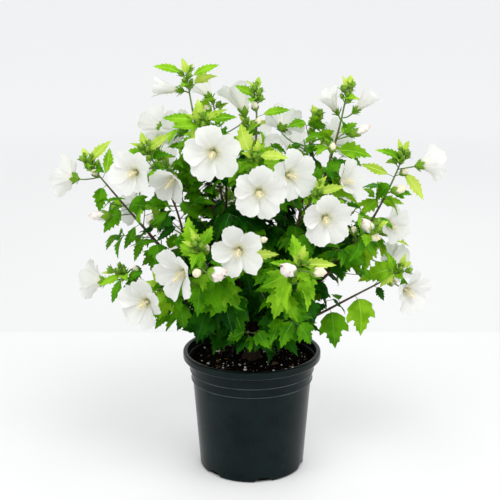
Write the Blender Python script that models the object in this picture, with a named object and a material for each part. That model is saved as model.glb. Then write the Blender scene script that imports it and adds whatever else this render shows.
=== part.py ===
# Potted rose of sharon: a white-flowered shrub on a short trunk, in a round black nursery pot.
# Metres, +Z up, -Y to the front. The origin is the middle of the pot's flat underside.
# Tables give lengths in millimetres and angles in degrees; azimuth 0 is +X and 90 is the back.

import math
import random

import bmesh
import bpy
import numpy as np
from mathutils import Matrix, Vector
from mathutils.bvhtree import BVHTree

MM = 0.001
UP = Vector((0, 0, 1))
GAP = 0.0003                     # between pieces that meet face to face
COPE = 0.00036                   # how much fatter than its carrier the cutter of a limb's foot is
LEAF_GAP = 0.0006                # kept round leaves and twigs that pass another piece
GOLDEN_TURN = 137.5
SEED = 11

# Pot: a 10 inch round nursery pot
POT_SIDES = 36
POT_HEIGHT = 0.221
RIM_RADIUS = 0.125
RIM_WIDTH = 0.008                # across the rolled lip
RIM_DEPTH = 0.013
NECK_RADIUS = 0.1140             # just under the lip
BODY_TOP_RADIUS = 0.1077         # just under the lower ridge
BASE_RADIUS = 0.0957
BASE_ROUND = 0.006
RIDGE_HEIGHTS = (0.169, 0.186)
RIDGE_RADII = (0.1104, 0.1128)
RIDGE_STEP = 0.0012
POT_WALL = 0.0022
POT_FLOOR = 0.0030
NOTCHES = 6
NOTCH_WIDTH = 0.030
NOTCH_RISE = 0.005
NOTCH_REACH = 0.010              # in from the base's edge
FIRST_NOTCH = 283                # azimuth

# Potting mix, heaped slightly round the trunk
SOIL_LEVEL = 0.2050
SOIL_FALL = 0.003                # from the trunk to the wall
SOIL_HUMP = 0.0012

# Trunk, from its flat cut on the soil to its fork
TRUNK_TOP = 0.318
TRUNK_SIDES = 10
TRUNK_FOOT_RADIUS = 0.0125
TRUNK_TOP_RADIUS = 0.0085
FLARE_RADIUS = 0.0185
FLARE_HEIGHT = 0.016
FLARE_ROOTS = 4
TRUNK_LEAN = 0.004
TRUNK_BOW = 0.002

# Boughs and the stems that go on from them
BOUGH_SIDES = 6
RINGS = 4                        # straight stretches in a bough, and in the stem that goes on
SLENDERNESS = 0.0130             # a limb's foot radius for each metre of its length
TIP_RADIUS = 0.0020
CHILD_SHARE = 0.72               # of its carrier's radius, at most
BOUGH_SHARE = 0.20               # where a shoot's foliage starts
PAST_CHILD = 0.06                # and how far past the last shoot that it carries
WAVE = 0.0035
STEM_SIDES = 3

# Twigs, leaves and flowers
TWIG_EVERY = 0.0375
TWIG_LENGTH = 0.088
TWIG_TAPER = 0.62                # how much shorter the last twig is
TWIG_ANGLE = 52
TWIG_RISE = 0.12
TWIG_RADIUS = 0.0013
LEAF_LENGTH = 0.076
LEAF_WIDTH = 0.053
LEAF_THICKNESS = 0.0026
LEAF_SINK = 0.0004               # a leaf's root past its twig's middle
LEAF_BROADEST = 0.42             # of its length from its root
LEAF_THICKEST = 0.16
LOW_DROOP = 0.95
HIGH_DROOP = 0.15
CROWN_TOP = 0.74
TWIG_LEAVES = (0.36, 0.62, 0.82, 0.98)    # how far up a twig its leaves stand; the last one ends it
TUFT_LEAVES = 5
SPACE_OVERLAP = 0.020            # how far past midway to the next shoot a shoot's space goes
SOIL_CLEARANCE = 0.003
RIM_CLEARANCE = 0.004            # over the lip, for what reaches past the pot's inside
STALK_RADIUS = 0.0013
STALK_STRAIGHT = 0.014
PETAL_THICKNESS = 0.0024
BUD_ACROSS = 0.034               # a flower narrower than this is a closed bud
PETALS = 5

# Shoots: azimuth, reach and height of the tip, arch, what carries the shoot, and how high:
# millimetres up for the trunk, or a share of the shoot's length.
SHOOTS = {
    "low_left": (186, 240, 376, -5, "trunk", 232),
    "low_right": (359, 268, 372, -10, "trunk", 236),
    "front_right": (290, 225, 445, -15, "trunk", 240),
    "front_left": (246, 220, 470, -15, "trunk", 250),
    "back_left": (148, 215, 595, -15, "trunk", 266),
    "back_right": (48, 250, 510, -15, "trunk", 250),
    "far_left": (176, 292, 566, -15, "trunk", 250),
    "right": (4, 268, 578, -60, "trunk", 264),
    "back": (92, 190, 600, -10, "trunk", 272),
    "top_right": (7, 167, 692, -40, "trunk", 288),
    "top_left": (165, 117, 712, -25, "trunk", 284),
    "top_centre": (20, 10, 690, 0, "trunk", 312),
    "low_left_front": (214, 190, 375, 5, "low_left", 0.28),
    "left_upper": (195, 187, 600, 20, "far_left", 0.34),
    "top_left_front": (219, 110, 650, 15, "top_left", 0.36),
    "back_left_top": (122, 135, 665, 15, "top_left", 0.28),
    "centre_front": (272, 125, 600, 20, "top_centre", 0.30),
    "front_mid": (266, 165, 440, 10, "top_centre", 0.12),
    "mid_right": (312, 160, 540, 15, "top_right", 0.26),
    "back_right_top": (38, 150, 630, 15, "top_right", 0.36),
    "right_front": (335, 225, 470, 10, "right", 0.30),
    "right_back": (20, 260, 420, 10, "right", 0.18),
    "back_low_left": (118, 250, 385, 10, "back_left", 0.22),
    "back_low_right": (72, 240, 375, 10, "back_right", 0.20),
}

# Low leafy shoots straight on the trunk: azimuth, reach and height of the tip, height on the trunk
SKIRTS = {
    "skirt_front": (266, 100, 290, 219),
    "skirt_right": (322, 110, 285, 223),
    "skirt_back_right": (30, 105, 285, 218),
    "skirt_back": (88, 100, 290, 222),
    "skirt_back_left": (146, 105, 285, 219),
    "skirt_left": (208, 110, 285, 223),
}

# Flowers: the shoot that carries each, the middle of its mouth as azimuth, reach and height,
# where it faces as azimuth and lift, the width of its mouth and its depth.
FLOWERS = (
    ("top_left_front", 247, 165, 610, 270, 15, 100, 32),
    ("centre_front", 273, 180, 550, 275, 5, 86, 28),
    ("centre_front", 297, 148, 573, 305, 10, 90, 28),
    ("mid_right", 306, 210, 505, 280, 0, 87, 28),
    ("front_mid", 265, 222, 467, 265, 5, 89, 30),
    ("front_left", 238, 235, 425, 215, -5, 88, 34),
    ("low_left_front", 219, 228, 353, 235, 0, 80, 30),
    ("low_left", 184, 290, 358, 180, 0, 75, 34),
    ("left_upper", 205, 235, 560, 250, 0, 73, 32),
    ("left_upper", 215, 175, 538, 240, -25, 70, 36),
    ("far_left", 180, 332, 538, 170, 0, 78, 32),
    ("top_left", 170, 170, 697, 175, 15, 50, 46),
    ("back_left", 150, 215, 610, 130, 0, 80, 30),
    ("back_left_top", 148, 165, 612, 130, 10, 78, 30),
    ("back_left_top", 104, 105, 645, 80, 35, 80, 30),
    ("back_right_top", 59, 118, 630, 70, 10, 82, 30),
    ("top_right", 14, 128, 690, 200, 60, 48, 44),
    ("top_right", 0, 210, 688, 0, 45, 60, 48),
    ("top_right", 0, 205, 630, 0, 25, 18, 38),
    ("mid_right", 341, 180, 533, 330, 30, 71, 32),
    ("right", 0, 322, 558, 0, 5, 65, 40),
    ("right", 357, 270, 522, 0, 15, 26, 32),
    ("right_back", 7, 252, 440, 340, 0, 74, 32),
    ("right_back", 17, 282, 362, 20, 0, 78, 32),
    ("low_right", 352, 277, 336, 330, -10, 90, 32),
    ("far_left", 183, 286, 474, 180, 0, 20, 38),
    ("front_right", 284, 268, 450, 230, 25, 28, 32),
    ("front_right", 296, 268, 437, 340, 5, 22, 34),
    ("front_left", 260, 238, 430, 350, -5, 32, 28),
    ("front_left", 250, 262, 435, 250, 0, 18, 18),
    ("back", 86, 218, 560, 80, 10, 92, 30),
    ("back", 104, 190, 470, 100, 0, 88, 30),
    ("back_left", 136, 245, 535, 125, 0, 86, 30),
    ("back_right", 52, 280, 480, 60, 5, 90, 32),
    ("back_right", 66, 215, 560, 55, 15, 82, 30),
    ("back_low_left", 117, 275, 362, 110, -5, 86, 32),
    ("back_low_right", 76, 265, 350, 80, 0, 86, 32),
    ("back_right_top", 38, 200, 590, 40, 15, 80, 32),
    ("back_left_top", 126, 165, 690, 130, 40, 56, 46),
    ("back_left", 158, 240, 470, 155, 0, 82, 32),
    ("back_low_left", 140, 262, 425, 140, 5, 30, 36),
)

COLOURS = {
    "pot": (0.012, 0.020, 0.021),
    "soil": (0.020, 0.013, 0.009),
    "bark": (0.110, 0.066, 0.040),
    "leaf": (0.100, 0.210, 0.020),
}
ROUGHNESS = {"pot": 0.42, "soil": 0.95, "bark": 0.80, "leaf": 0.55}


def clear_scene():
    for old in list(bpy.data.objects):
        bpy.data.objects.remove(old, do_unlink=True)


def heading(azimuth, lift):
    turn = math.radians(azimuth)
    rise = math.radians(lift)
    return Vector((math.cos(turn) * math.cos(rise), math.sin(turn) * math.cos(rise), math.sin(rise)))


def place(azimuth, reach, height):
    return heading(azimuth, 0) * (reach * MM) + UP * (height * MM)


def finished(name, mesh, kind):
    material = bpy.data.materials.new(name)
    material.use_nodes = True
    shader = material.node_tree.nodes["Principled BSDF"]
    shader.inputs["Base Color"].default_value = (*COLOURS[kind], 1)
    shader.inputs["Roughness"].default_value = ROUGHNESS[kind]
    shader.inputs["Metallic"].default_value = 0
    material.diffuse_color = (*COLOURS[kind], 1)
    mesh.materials.clear()
    mesh.materials.append(material)
    piece = bpy.data.objects.new(name, mesh)
    bpy.context.scene.collection.objects.link(piece)
    return piece


def to_mesh(bm, name):
    bmesh.ops.recalc_face_normals(bm, faces=bm.faces)
    mesh = bpy.data.meshes.new(name)
    bm.to_mesh(mesh)
    bm.free()
    return mesh


def turned(profile, sides):
    """A closed body turned round Z from an open profile of (radius, height), ends filled flat."""
    bm = bmesh.new()
    points = [bm.verts.new((radius, 0, height)) for radius, height in profile]
    edges = [bm.edges.new(pair) for pair in zip(points, points[1:])]
    bmesh.ops.spin(bm, geom=points + edges, axis=UP, cent=(0, 0, 0), angle=math.tau,
                   steps=sides, use_merge=True)
    bmesh.ops.remove_doubles(bm, verts=bm.verts, dist=1e-6)
    bmesh.ops.holes_fill(bm, edges=[edge for edge in bm.edges if edge.is_boundary], sides=0)
    return bm


# Pot and potting mix

def pot_outside():
    """The outer wall from the base's rounded edge up to the lip, stepping out over each ridge."""
    wall = [(BASE_RADIUS - BASE_ROUND, 0)]
    wall += [(BASE_RADIUS - BASE_ROUND * 0.3, BASE_ROUND * 0.25)]
    wall += [(BASE_RADIUS, BASE_ROUND)]
    below = (BODY_TOP_RADIUS, RIDGE_RADII[0])
    for height, under, over in zip(RIDGE_HEIGHTS, below, RIDGE_RADII):
        wall += [(under, height - RIDGE_STEP), (over, height), (over - RIDGE_STEP / 2, height + RIDGE_STEP)]
    wall += [(NECK_RADIUS, POT_HEIGHT - RIM_DEPTH - RIDGE_STEP)]
    return wall


def pot_lip():
    """The rolled lip, from under its outer edge over the top to its inner edge."""
    low = POT_HEIGHT - RIM_DEPTH
    inner = RIM_RADIUS - RIM_WIDTH
    roll = RIM_WIDTH * 0.3
    return [(RIM_RADIUS - roll, low), (RIM_RADIUS, low + roll), (RIM_RADIUS, POT_HEIGHT - roll),
            (RIM_RADIUS - roll, POT_HEIGHT), (inner + roll / 2, POT_HEIGHT),
            (inner, POT_HEIGHT - roll)]


def pot_inside(clear):
    """The inner wall from just under the lip down to the floor, and what fills it when clear is more."""
    inset = POT_WALL + clear
    top = (NECK_RADIUS - inset, POT_HEIGHT - RIM_DEPTH - RIDGE_STEP - POT_WALL)
    knee = (BODY_TOP_RADIUS - inset, RIDGE_HEIGHTS[0] - POT_WALL)
    return [top, knee, (BASE_RADIUS - inset - RIDGE_STEP, POT_FLOOR + clear)]


def notch_cutter():
    """Six short round bars, lying outwards, whose tops arch into the base's edge."""
    half = NOTCH_WIDTH / 2
    radius = (half * half + NOTCH_RISE * NOTCH_RISE) / (2 * NOTCH_RISE)
    bm = bmesh.new()
    for index in range(NOTCHES):
        azimuth = FIRST_NOTCH + index * 360 / NOTCHES
        outward = heading(azimuth, 0)
        middle = outward * (BASE_RADIUS - NOTCH_REACH + half) + UP * (NOTCH_RISE - radius)
        turn = outward.to_track_quat("Z", "Y").to_matrix().to_4x4()
        bmesh.ops.create_cone(bm, cap_ends=True, segments=20, radius1=radius, radius2=radius,
                              depth=NOTCH_WIDTH, matrix=Matrix.Translation(middle) @ turn)
    cutter = bpy.data.objects.new("notch_cutter", to_mesh(bm, "notch_cutter"))
    cutter.hide_render = True
    cutter.display_type = "WIRE"
    bpy.context.scene.collection.objects.link(cutter)
    return cutter


def make_pot():
    bm = turned(pot_outside() + pot_lip() + pot_inside(0), POT_SIDES)
    pot = finished("pot", to_mesh(bm, "pot"), "pot")
    cut = pot.modifiers.new("drain notches", "BOOLEAN")
    cut.operation = "DIFFERENCE"
    cut.object = notch_cutter()
    return pot


def make_soil():
    wall = pot_inside(GAP)
    (high_radius, high), (low_radius, low) = wall[:2]
    share = (SOIL_LEVEL - SOIL_FALL - low) / (high - low)
    top_radius = low_radius + (high_radius - low_radius) * share
    profile = [(TRUNK_FOOT_RADIUS * 2, SOIL_LEVEL), (top_radius * 0.55, SOIL_LEVEL - SOIL_FALL / 2),
               (top_radius, SOIL_LEVEL - SOIL_FALL)]
    bm = turned(profile + wall[1:], POT_SIDES)
    rng = random.Random(SEED)
    for vert in bm.verts:
        if abs(vert.co.xy.length - top_radius * 0.55) < MM:
            vert.co.z += rng.uniform(-SOIL_HUMP, SOIL_HUMP)
    return finished("soil", to_mesh(bm, "soil"), "soil")


# Limbs

def ring_matrix(point, along, across, radius):
    third = along.cross(across)
    turn = Matrix((across, third, along)).transposed().to_4x4()
    return Matrix.Translation(point) @ turn @ Matrix.Scale(radius, 4)


def path_headings(path):
    return [(path[min(index + 1, len(path) - 1)] - path[max(index - 1, 0)]).normalized()
            for index in range(len(path))]


def limb(path, alongs, radii, sides):
    """One tapering closed limb along a path, square to alongs, extruded ring by ring."""
    rings = []
    across = alongs[0].orthogonal().normalized()
    for point, along, radius in zip(path, alongs, radii):
        across = (across - along * across.dot(along)).normalized()
        rings.append(ring_matrix(point, along, across, radius))
    bm = bmesh.new()
    bmesh.ops.create_circle(bm, cap_ends=True, segments=sides, radius=1, matrix=rings[0])
    end = [bm.faces[:][0]]
    for index, (last, ring) in enumerate(zip(rings, rings[1:])):
        grown = bmesh.ops.extrude_face_region(bm, geom=end)["geom"]
        if index > 0:
            bmesh.ops.delete(bm, geom=end, context="FACES_ONLY")
        end = [item for item in grown if isinstance(item, bmesh.types.BMFace)]
        verts = [item for item in grown if isinstance(item, bmesh.types.BMVert)]
        bmesh.ops.transform(bm, matrix=ring @ last.inverted(), verts=verts)
    return bm


def carved(mesh, cutter_mesh, name):
    """What is left of a limb outside a slightly fatter copy of what carries it."""
    body = bpy.data.objects.new(name, mesh)
    cutter = bpy.data.objects.new(name + "_cutter", cutter_mesh)
    for item in (body, cutter):
        bpy.context.scene.collection.objects.link(item)
    cope = body.modifiers.new("cope", "BOOLEAN")
    cope.operation = "DIFFERENCE"
    cope.object = cutter
    result = bpy.data.meshes.new_from_object(body.evaluated_get(bpy.context.evaluated_depsgraph_get()))
    for item in (body, cutter):
        bpy.data.objects.remove(item, do_unlink=True)
    return result


def trunk_axis(height):
    share = (height - SOIL_LEVEL) / (TRUNK_TOP - SOIL_LEVEL)
    return Vector((TRUNK_LEAN * share, -TRUNK_BOW * math.sin(math.pi * share), height))


def trunk_radius(height):
    share = (height - SOIL_LEVEL) / (TRUNK_TOP - SOIL_LEVEL)
    return TRUNK_FOOT_RADIUS + (TRUNK_TOP_RADIUS - TRUNK_FOOT_RADIUS) * share


def trunk_mesh(fatter):
    """The trunk, or the cutter that seats what it carries when fatter is more than nothing."""
    foot = SOIL_LEVEL + GAP
    heights = [foot, foot + FLARE_HEIGHT / 3, foot + FLARE_HEIGHT]
    heights += [foot + (TRUNK_TOP - foot) * share for share in (0.35, 0.6, 0.82, 1.0)]
    flare = (FLARE_RADIUS, (FLARE_RADIUS + TRUNK_FOOT_RADIUS) / 2)
    radii = list(flare) + [trunk_radius(height) for height in heights[2:]]
    path = [trunk_axis(height) for height in heights]
    bm = limb(path, path_headings(path), [radius + fatter for radius in radii], TRUNK_SIDES)
    for vert in bm.verts:
        if vert.co.z < foot + FLARE_HEIGHT / 2:
            azimuth = math.atan2(vert.co.y, vert.co.x)
            swell = 1 + 0.16 * math.cos(FLARE_ROOTS * azimuth)
            vert.co.x *= swell
            vert.co.y *= swell
            vert.co.z = foot if vert.co.z < foot + MM else vert.co.z
        if vert.co.z > TRUNK_TOP - MM:
            vert.co.z = TRUNK_TOP + fatter
    return to_mesh(bm, "trunk")


class Shoot:
    """A curving stem from the trunk, or from another shoot, out to its tip, in straight stretches."""

    def __init__(self, name, index, tip, arch, carrier, foot, bough_end):
        self.name = name
        self.index = index
        self.carrier = carrier
        self.bough_end = bough_end
        self.start = carrier.point(foot) if carrier else trunk_axis(foot * MM)
        limit = carrier.radius(foot) if carrier else trunk_radius(foot * MM)
        self.tip = tip
        outward = Vector((tip.x, tip.y, 0)).normalized()
        self.middle = (self.start + tip) / 2 + (UP - outward) * (arch * MM)
        self.sideways = UP.cross(tip - self.start).normalized()
        self.phase = index * 1.7
        self.length = (self.middle - self.start).length + (tip - self.middle).length
        self.foot_radius = min(self.length * SLENDERNESS, limit * CHILD_SHARE)
        bough = [bough_end * ring / RINGS for ring in range(RINGS)] if bough_end else []
        stem = [bough_end + (1 - bough_end) * ring / RINGS for ring in range(RINGS + 1)]
        self.shares = bough + stem
        self.nodes = [self.curve(share) for share in self.shares]

    def curve(self, share):
        rest = 1 - share
        bend = self.start * rest * rest + self.middle * 2 * share * rest + self.tip * share * share
        wave = math.sin(share * 9 + self.phase) - math.sin(self.phase) * rest
        return bend + self.sideways * (wave * WAVE * 4 * share * rest)

    def point(self, share):
        after = next(index for index in range(1, len(self.shares)) if self.shares[index] >= share - 1e-6)
        low, high = self.shares[after - 1], self.shares[after]
        return self.nodes[after - 1].lerp(self.nodes[after], (share - low) / (high - low))

    def along(self, share):
        step = 0.01
        return (self.curve(min(share + step, 1)) - self.curve(max(share - step, 0))).normalized()

    def radius(self, share):
        return self.foot_radius + (TIP_RADIUS - self.foot_radius) * share ** 0.8


def bough_ends():
    """Each shoot's foliage starts a set share up it, or past the last shoot that it carries."""
    ends = {name: BOUGH_SHARE for name in SHOOTS}
    for row in SHOOTS.values():
        carrier, foot = row[4:]
        if carrier in ends:
            ends[carrier] = max(ends[carrier], foot + PAST_CHILD)
    return ends


def make_shoots():
    shoots = {}
    ends = bough_ends()
    for index, (name, row) in enumerate(SHOOTS.items()):
        azimuth, reach, height, arch, carrier, foot = row
        tip = place(azimuth, reach, height)
        shoots[name] = Shoot(name, index, tip, arch, shoots.get(carrier), foot, ends[name])
    for name, (azimuth, reach, height, foot) in SKIRTS.items():
        tip = place(azimuth, reach, height)
        shoots[name] = Shoot(name, len(shoots), tip, 0, None, foot, 0)
    return shoots


def stretch(shoot, start, end, sides, fatter=0.0):
    """The stretch of a shoot between two shares of its length, as a limb."""
    shares = [start] + [share for share in shoot.shares if start + MM < share < end - MM] + [end]
    path = [shoot.point(share) for share in shares]
    radii = [shoot.radius(share) + fatter for share in shares]
    return limb(path, [shoot.along(share) for share in shares], radii, sides)


def surface(mesh):
    return BVHTree.FromPolygons([vert.co for vert in mesh.vertices],
                                [face.vertices for face in mesh.polygons])


def carrier_cutter(shoot):
    if shoot.carrier is None:
        return trunk_mesh(COPE)
    carrier = shoot.carrier
    return to_mesh(stretch(carrier, 0, carrier.bough_end, BOUGH_SIDES, COPE), "cutter")


def make_boughs(shoots):
    """The bare lower stretch of each shoot, coped to the trunk or to the bough that carries it."""
    boughs = []
    for shoot in shoots.values():
        if shoot.name not in SKIRTS:
            bm = stretch(shoot, 0, shoot.bough_end, BOUGH_SIDES)
            mesh = carved(to_mesh(bm, shoot.name), carrier_cutter(shoot), shoot.name)
            boughs.append(finished("bough_" + shoot.name, mesh, "bark"))
    return boughs


def make_stem(shoot):
    """The leafy upper stretch: from the bough's tip, or for a low shoot straight from the trunk."""
    if shoot.name in SKIRTS:
        bm = stretch(shoot, 0, 1, STEM_SIDES)
        return carved(to_mesh(bm, shoot.name), carrier_cutter(shoot), shoot.name)
    start = shoot.bough_end + GAP / shoot.length
    return to_mesh(stretch(shoot, start, 1, STEM_SIDES), shoot.name)


# Flowers, twigs and leaves

def flower_frame(azimuth, lift):
    faces = heading(azimuth, lift)
    across = UP.cross(faces).normalized()
    return faces, across, faces.cross(across)


def flower(base, frame, across, deep):
    """A closed five-lobed funnel with a spike in its throat, from its calyx at base."""
    faces, side, over = frame
    bm = bmesh.new()

    def corner(radius, step, depth):
        turn = math.tau * step / (2 * PETALS) + math.pi / 2
        spot = side * (radius * math.cos(turn)) + over * (radius * math.sin(turn)) + faces * depth
        return bm.verts.new(base + spot)

    calyx = bm.verts.new(base)
    spike = bm.verts.new(base + faces * (deep * 0.95))
    rim_radius = across / 2
    notch = rim_radius * 0.80
    throat_radius = max(0.16 * across, 0.006)
    throat = [corner(throat_radius, 2 * step, deep * 0.42) for step in range(PETALS)]
    floor = deep * 0.42 + PETAL_THICKNESS
    inner = [corner(throat_radius * 0.75, 2 * step, floor) for step in range(PETALS)]
    lobes = [corner(rim_radius, 2 * step, deep) for step in range(PETALS)]
    notches = [corner(notch, 2 * step + 1, deep * 0.92) for step in range(PETALS)]
    for step in range(PETALS):
        after = (step + 1) % PETALS
        bm.faces.new((calyx, throat[after], throat[step]))
        bm.faces.new((spike, inner[step], inner[after]))
        for ring in (throat, inner):
            bm.faces.new((ring[step], notches[step], lobes[step]))
            bm.faces.new((ring[after], lobes[after], notches[step]))
            bm.faces.new((ring[step], ring[after], notches[step]))
    return bm


def bud(base, frame, across, deep):
    faces, side, over = frame
    bm = bmesh.new()
    widest = base + faces * (deep * 0.5)
    corners = [base, base + faces * deep]
    corners += [widest + axis * (sign * across / 2) for axis in (side, over) for sign in (-1, 1)]
    bmesh.ops.convex_hull(bm, input=[bm.verts.new(corner) for corner in corners])
    return bm


def leaf(root, along, normal, size, grow):
    """A flat eight-faced blade, its root at a twig; grow pads the copy that clearances are read from."""
    bm = bmesh.new()
    side = along.cross(normal).normalized()
    length = LEAF_LENGTH * size
    broad = root + along * (length * LEAF_BROADEST)
    thick = root + along * (length * LEAF_THICKEST)
    corners = [root - along * LEAF_SINK, root + along * (length + grow)]
    corners += [broad + side * (sign * (LEAF_WIDTH * size / 2 + grow)) for sign in (-1, 1)]
    corners += [thick + normal * (sign * (LEAF_THICKNESS / 2 + grow)) for sign in (-1, 1)]
    bmesh.ops.convex_hull(bm, input=[bm.verts.new(corner) for corner in corners])
    return bm


def leaf_pose(twig_along, side, outward, droop):
    """The way a leaf points and faces: off its twig, sagging, with its face outwards and up."""
    along = (twig_along * 0.5 + side * 0.7 - UP * droop).normalized()
    face = (outward * 0.8 + UP * 0.6).normalized()
    return along, (face - along * face.dot(along)).normalized()


def droop_at(height):
    """Low leaves hang and high ones spread."""
    share = (height - SOIL_LEVEL) / (CROWN_TOP - SOIL_LEVEL)
    return LOW_DROOP + (HIGH_DROOP - LOW_DROOP) * min(max(share, 0), 1)


def above_pot(corner):
    inside = corner.xy.length < RIM_RADIUS - 3 * RIM_WIDTH
    return corner.z > (SOIL_LEVEL + SOIL_CLEARANCE if inside else POT_HEIGHT + RIM_CLEARANCE)


class Space:
    """Each shoot owns the points that lie nearer to it than to any other shoot, and a little more."""

    def __init__(self, shoots):
        self.names = list(shoots)
        shares = [step / 32 for step in range(33)]
        self.points = np.array([[shoot.point(share) for share in shares] for shoot in shoots.values()])

    def holds(self, name, corners):
        own = self.names.index(name)
        spots = np.array([tuple(corner) for corner in corners])
        away = np.linalg.norm(self.points[:, :, None, :] - spots[None, None, :, :], axis=3).min(axis=1)
        others = np.delete(away, own, axis=0).min(axis=0)
        return bool(np.all(away[own] < others + SPACE_OVERLAP)) and all(map(above_pot, corners))


class Mass:
    """The foliage of one shoot: its leafy stem, flowers, twigs and leaves, before they are fused."""

    def __init__(self, shoot):
        self.shoot = shoot
        self.bodies = []
        self.trees = []
        self.rng = random.Random(SEED + shoot.index)

    def add(self, mesh):
        self.trees.append(surface(mesh))
        self.bodies.append(mesh)


def stalk_foot(shoot, base):
    """The share of a shoot where a flower's stalk leaves it, a little below the nearest point."""
    shares = [0.02 + 0.96 * step / 48 for step in range(49)]
    shares = [share for share in shares if share > shoot.bough_end + 0.05]
    nearest = min(shares, key=lambda share: (shoot.point(share) - base).length)
    setback = (shoot.point(nearest) - base).length * 0.5 / shoot.length
    return max(nearest - setback, shares[0])


def add_flowers(masses):
    heads = []
    for name, azimuth, reach, height, faces, lift, across, deep in FLOWERS:
        mass = masses[name]
        frame = flower_frame(faces, lift)
        base = place(azimuth, reach, height) - frame[0] * (deep * MM)
        form = bud if across * MM < BUD_ACROSS else flower
        mass.add(to_mesh(form(base, frame, across * MM, deep * MM), name))
        heads.append(mass.trees[-1])
        foot = mass.shoot.point(stalk_foot(mass.shoot, base))
        bend = base - frame[0] * STALK_STRAIGHT
        inside = base + frame[0] * (deep * MM * 0.2)
        path = [foot, bend, inside]
        mass.add(to_mesh(limb(path, path_headings(path), [STALK_RADIUS] * 3, STEM_SIDES), name))
    return heads


def touches(tree, obstacles):
    return any(tree.overlap(obstacle) for obstacle in obstacles)


def fitted_leaf(mass, space, obstacles, root, along, normal):
    """A leaf at its full size, or the first smaller one that has room; None where none has."""
    size = mass.rng.uniform(0.85, 1.15)
    for smaller in (1.0, 0.8, 0.62):
        padded = leaf(root, along, normal, size * smaller, LEAF_GAP)
        corners = [vert.co.copy() for vert in padded.verts]
        tree = BVHTree.FromBMesh(padded)
        padded.free()
        if space.holds(mass.shoot.name, corners) and not touches(tree, obstacles):
            return to_mesh(leaf(root, along, normal, size * smaller, 0), mass.shoot.name)
    return None


def twig_leaves(mass, space, obstacles, path):
    """Leaves stand to either side of a twig in turn, and the last goes on from its end."""
    foot, tip = path
    along = (tip - foot).normalized()
    side = along.cross(UP).normalized()
    outward = Vector((tip.x, tip.y, 0)).normalized()
    leaves = []
    for index, share in enumerate(TWIG_LEAVES):
        lean = Vector() if share == TWIG_LEAVES[-1] else side * (-1) ** index
        pointing, facing = leaf_pose(along, lean, outward, droop_at(tip.z) * mass.rng.uniform(0.7, 1.3))
        near = obstacles + [surface(mesh) for mesh in leaves]
        mesh = fitted_leaf(mass, space, near, foot.lerp(tip, share), pointing, facing)
        if mesh:
            leaves.append(mesh)
    return leaves


def add_twigs(mass, space, obstacles):
    """Twigs at golden turns up the stem, shorter towards its tip, where they and a leaf have room."""
    shoot = mass.shoot
    low = shoot.bough_end + 0.04
    count = max(3, round((1 - low) * shoot.length / TWIG_EVERY))
    turn = mass.rng.uniform(0, 360)
    for index in range(count):
        share = low + (0.94 - low) * (index + 0.5) / count
        along = shoot.along(share)
        side = along.orthogonal().normalized()
        side.rotate(Matrix.Rotation(math.radians(turn + index * GOLDEN_TURN), 3, along))
        lean = math.radians(TWIG_ANGLE + mass.rng.uniform(-8, 8))
        direction = (along * math.cos(lean) + side * math.sin(lean) + UP * TWIG_RISE).normalized()
        length = TWIG_LENGTH * (1 - TWIG_TAPER * index / count) * mass.rng.uniform(0.85, 1.15)
        for shorter in (1.0, 0.7, 0.45):
            path = [shoot.point(share), shoot.point(share) + direction * (length * shorter)]
            radii = [TWIG_RADIUS, TWIG_RADIUS * 0.7]
            twig = to_mesh(limb(path, path_headings(path), radii, STEM_SIDES), shoot.name)
            blocked = touches(surface(twig), obstacles + mass.trees[1:])
            if blocked or not space.holds(shoot.name, path[1:]):
                continue
            leaves = twig_leaves(mass, space, obstacles + mass.trees, path)
            if leaves:
                for mesh in [twig] + leaves:
                    mass.add(mesh)
                break


def add_tuft(mass, space, obstacles):
    """Rising leaves in a turn round the stem's tip."""
    shoot = mass.shoot
    end = shoot.along(1)
    for index in range(TUFT_LEAVES):
        side = end.orthogonal().normalized()
        side.rotate(Matrix.Rotation(math.radians(index * GOLDEN_TURN + shoot.index * 40), 3, end))
        pointing = (end * 0.45 + side + UP * 0.25).normalized()
        facing = (end - pointing * end.dot(pointing)).normalized()
        spot = shoot.point(1 - 0.012 * index / shoot.length) - end * (TIP_RADIUS * 2)
        mesh = fitted_leaf(mass, space, obstacles + mass.trees[1:], spot, pointing, facing)
        if mesh:
            mass.add(mesh)


def closed_bodies(mesh):
    """The mesh's connected bodies as lists of face indices, with each one's volume."""
    bm = bmesh.new()
    bm.from_mesh(mesh)
    left = set(bm.faces)
    bodies = []
    while left:
        body = {left.pop()}
        border = list(body)
        while border:
            near = {other for edge in border.pop().edges for other in edge.link_faces} & left
            left -= near
            body |= near
            border += near
        volume = sum(face.calc_center_median().dot(face.normal) * face.calc_area() / 3 for face in body)
        bodies.append((volume, [face.index for face in body]))
    closed = all(len(edge.link_faces) == 2 for edge in bm.edges)
    bm.free()
    return bodies, closed


def keep_largest(mesh):
    """Drops loose scraps and the walls of sealed hollows, and says whether the mesh is closed."""
    bodies, closed = closed_bodies(mesh)
    kept = set(max(bodies)[1])
    if len(bodies) > 1:
        bm = bmesh.new()
        bm.from_mesh(mesh)
        scraps = [face for face in bm.faces if face.index not in kept]
        bmesh.ops.delete(bm, geom=scraps, context="FACES")
        bm.to_mesh(mesh)
        bm.free()
    return closed


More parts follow.
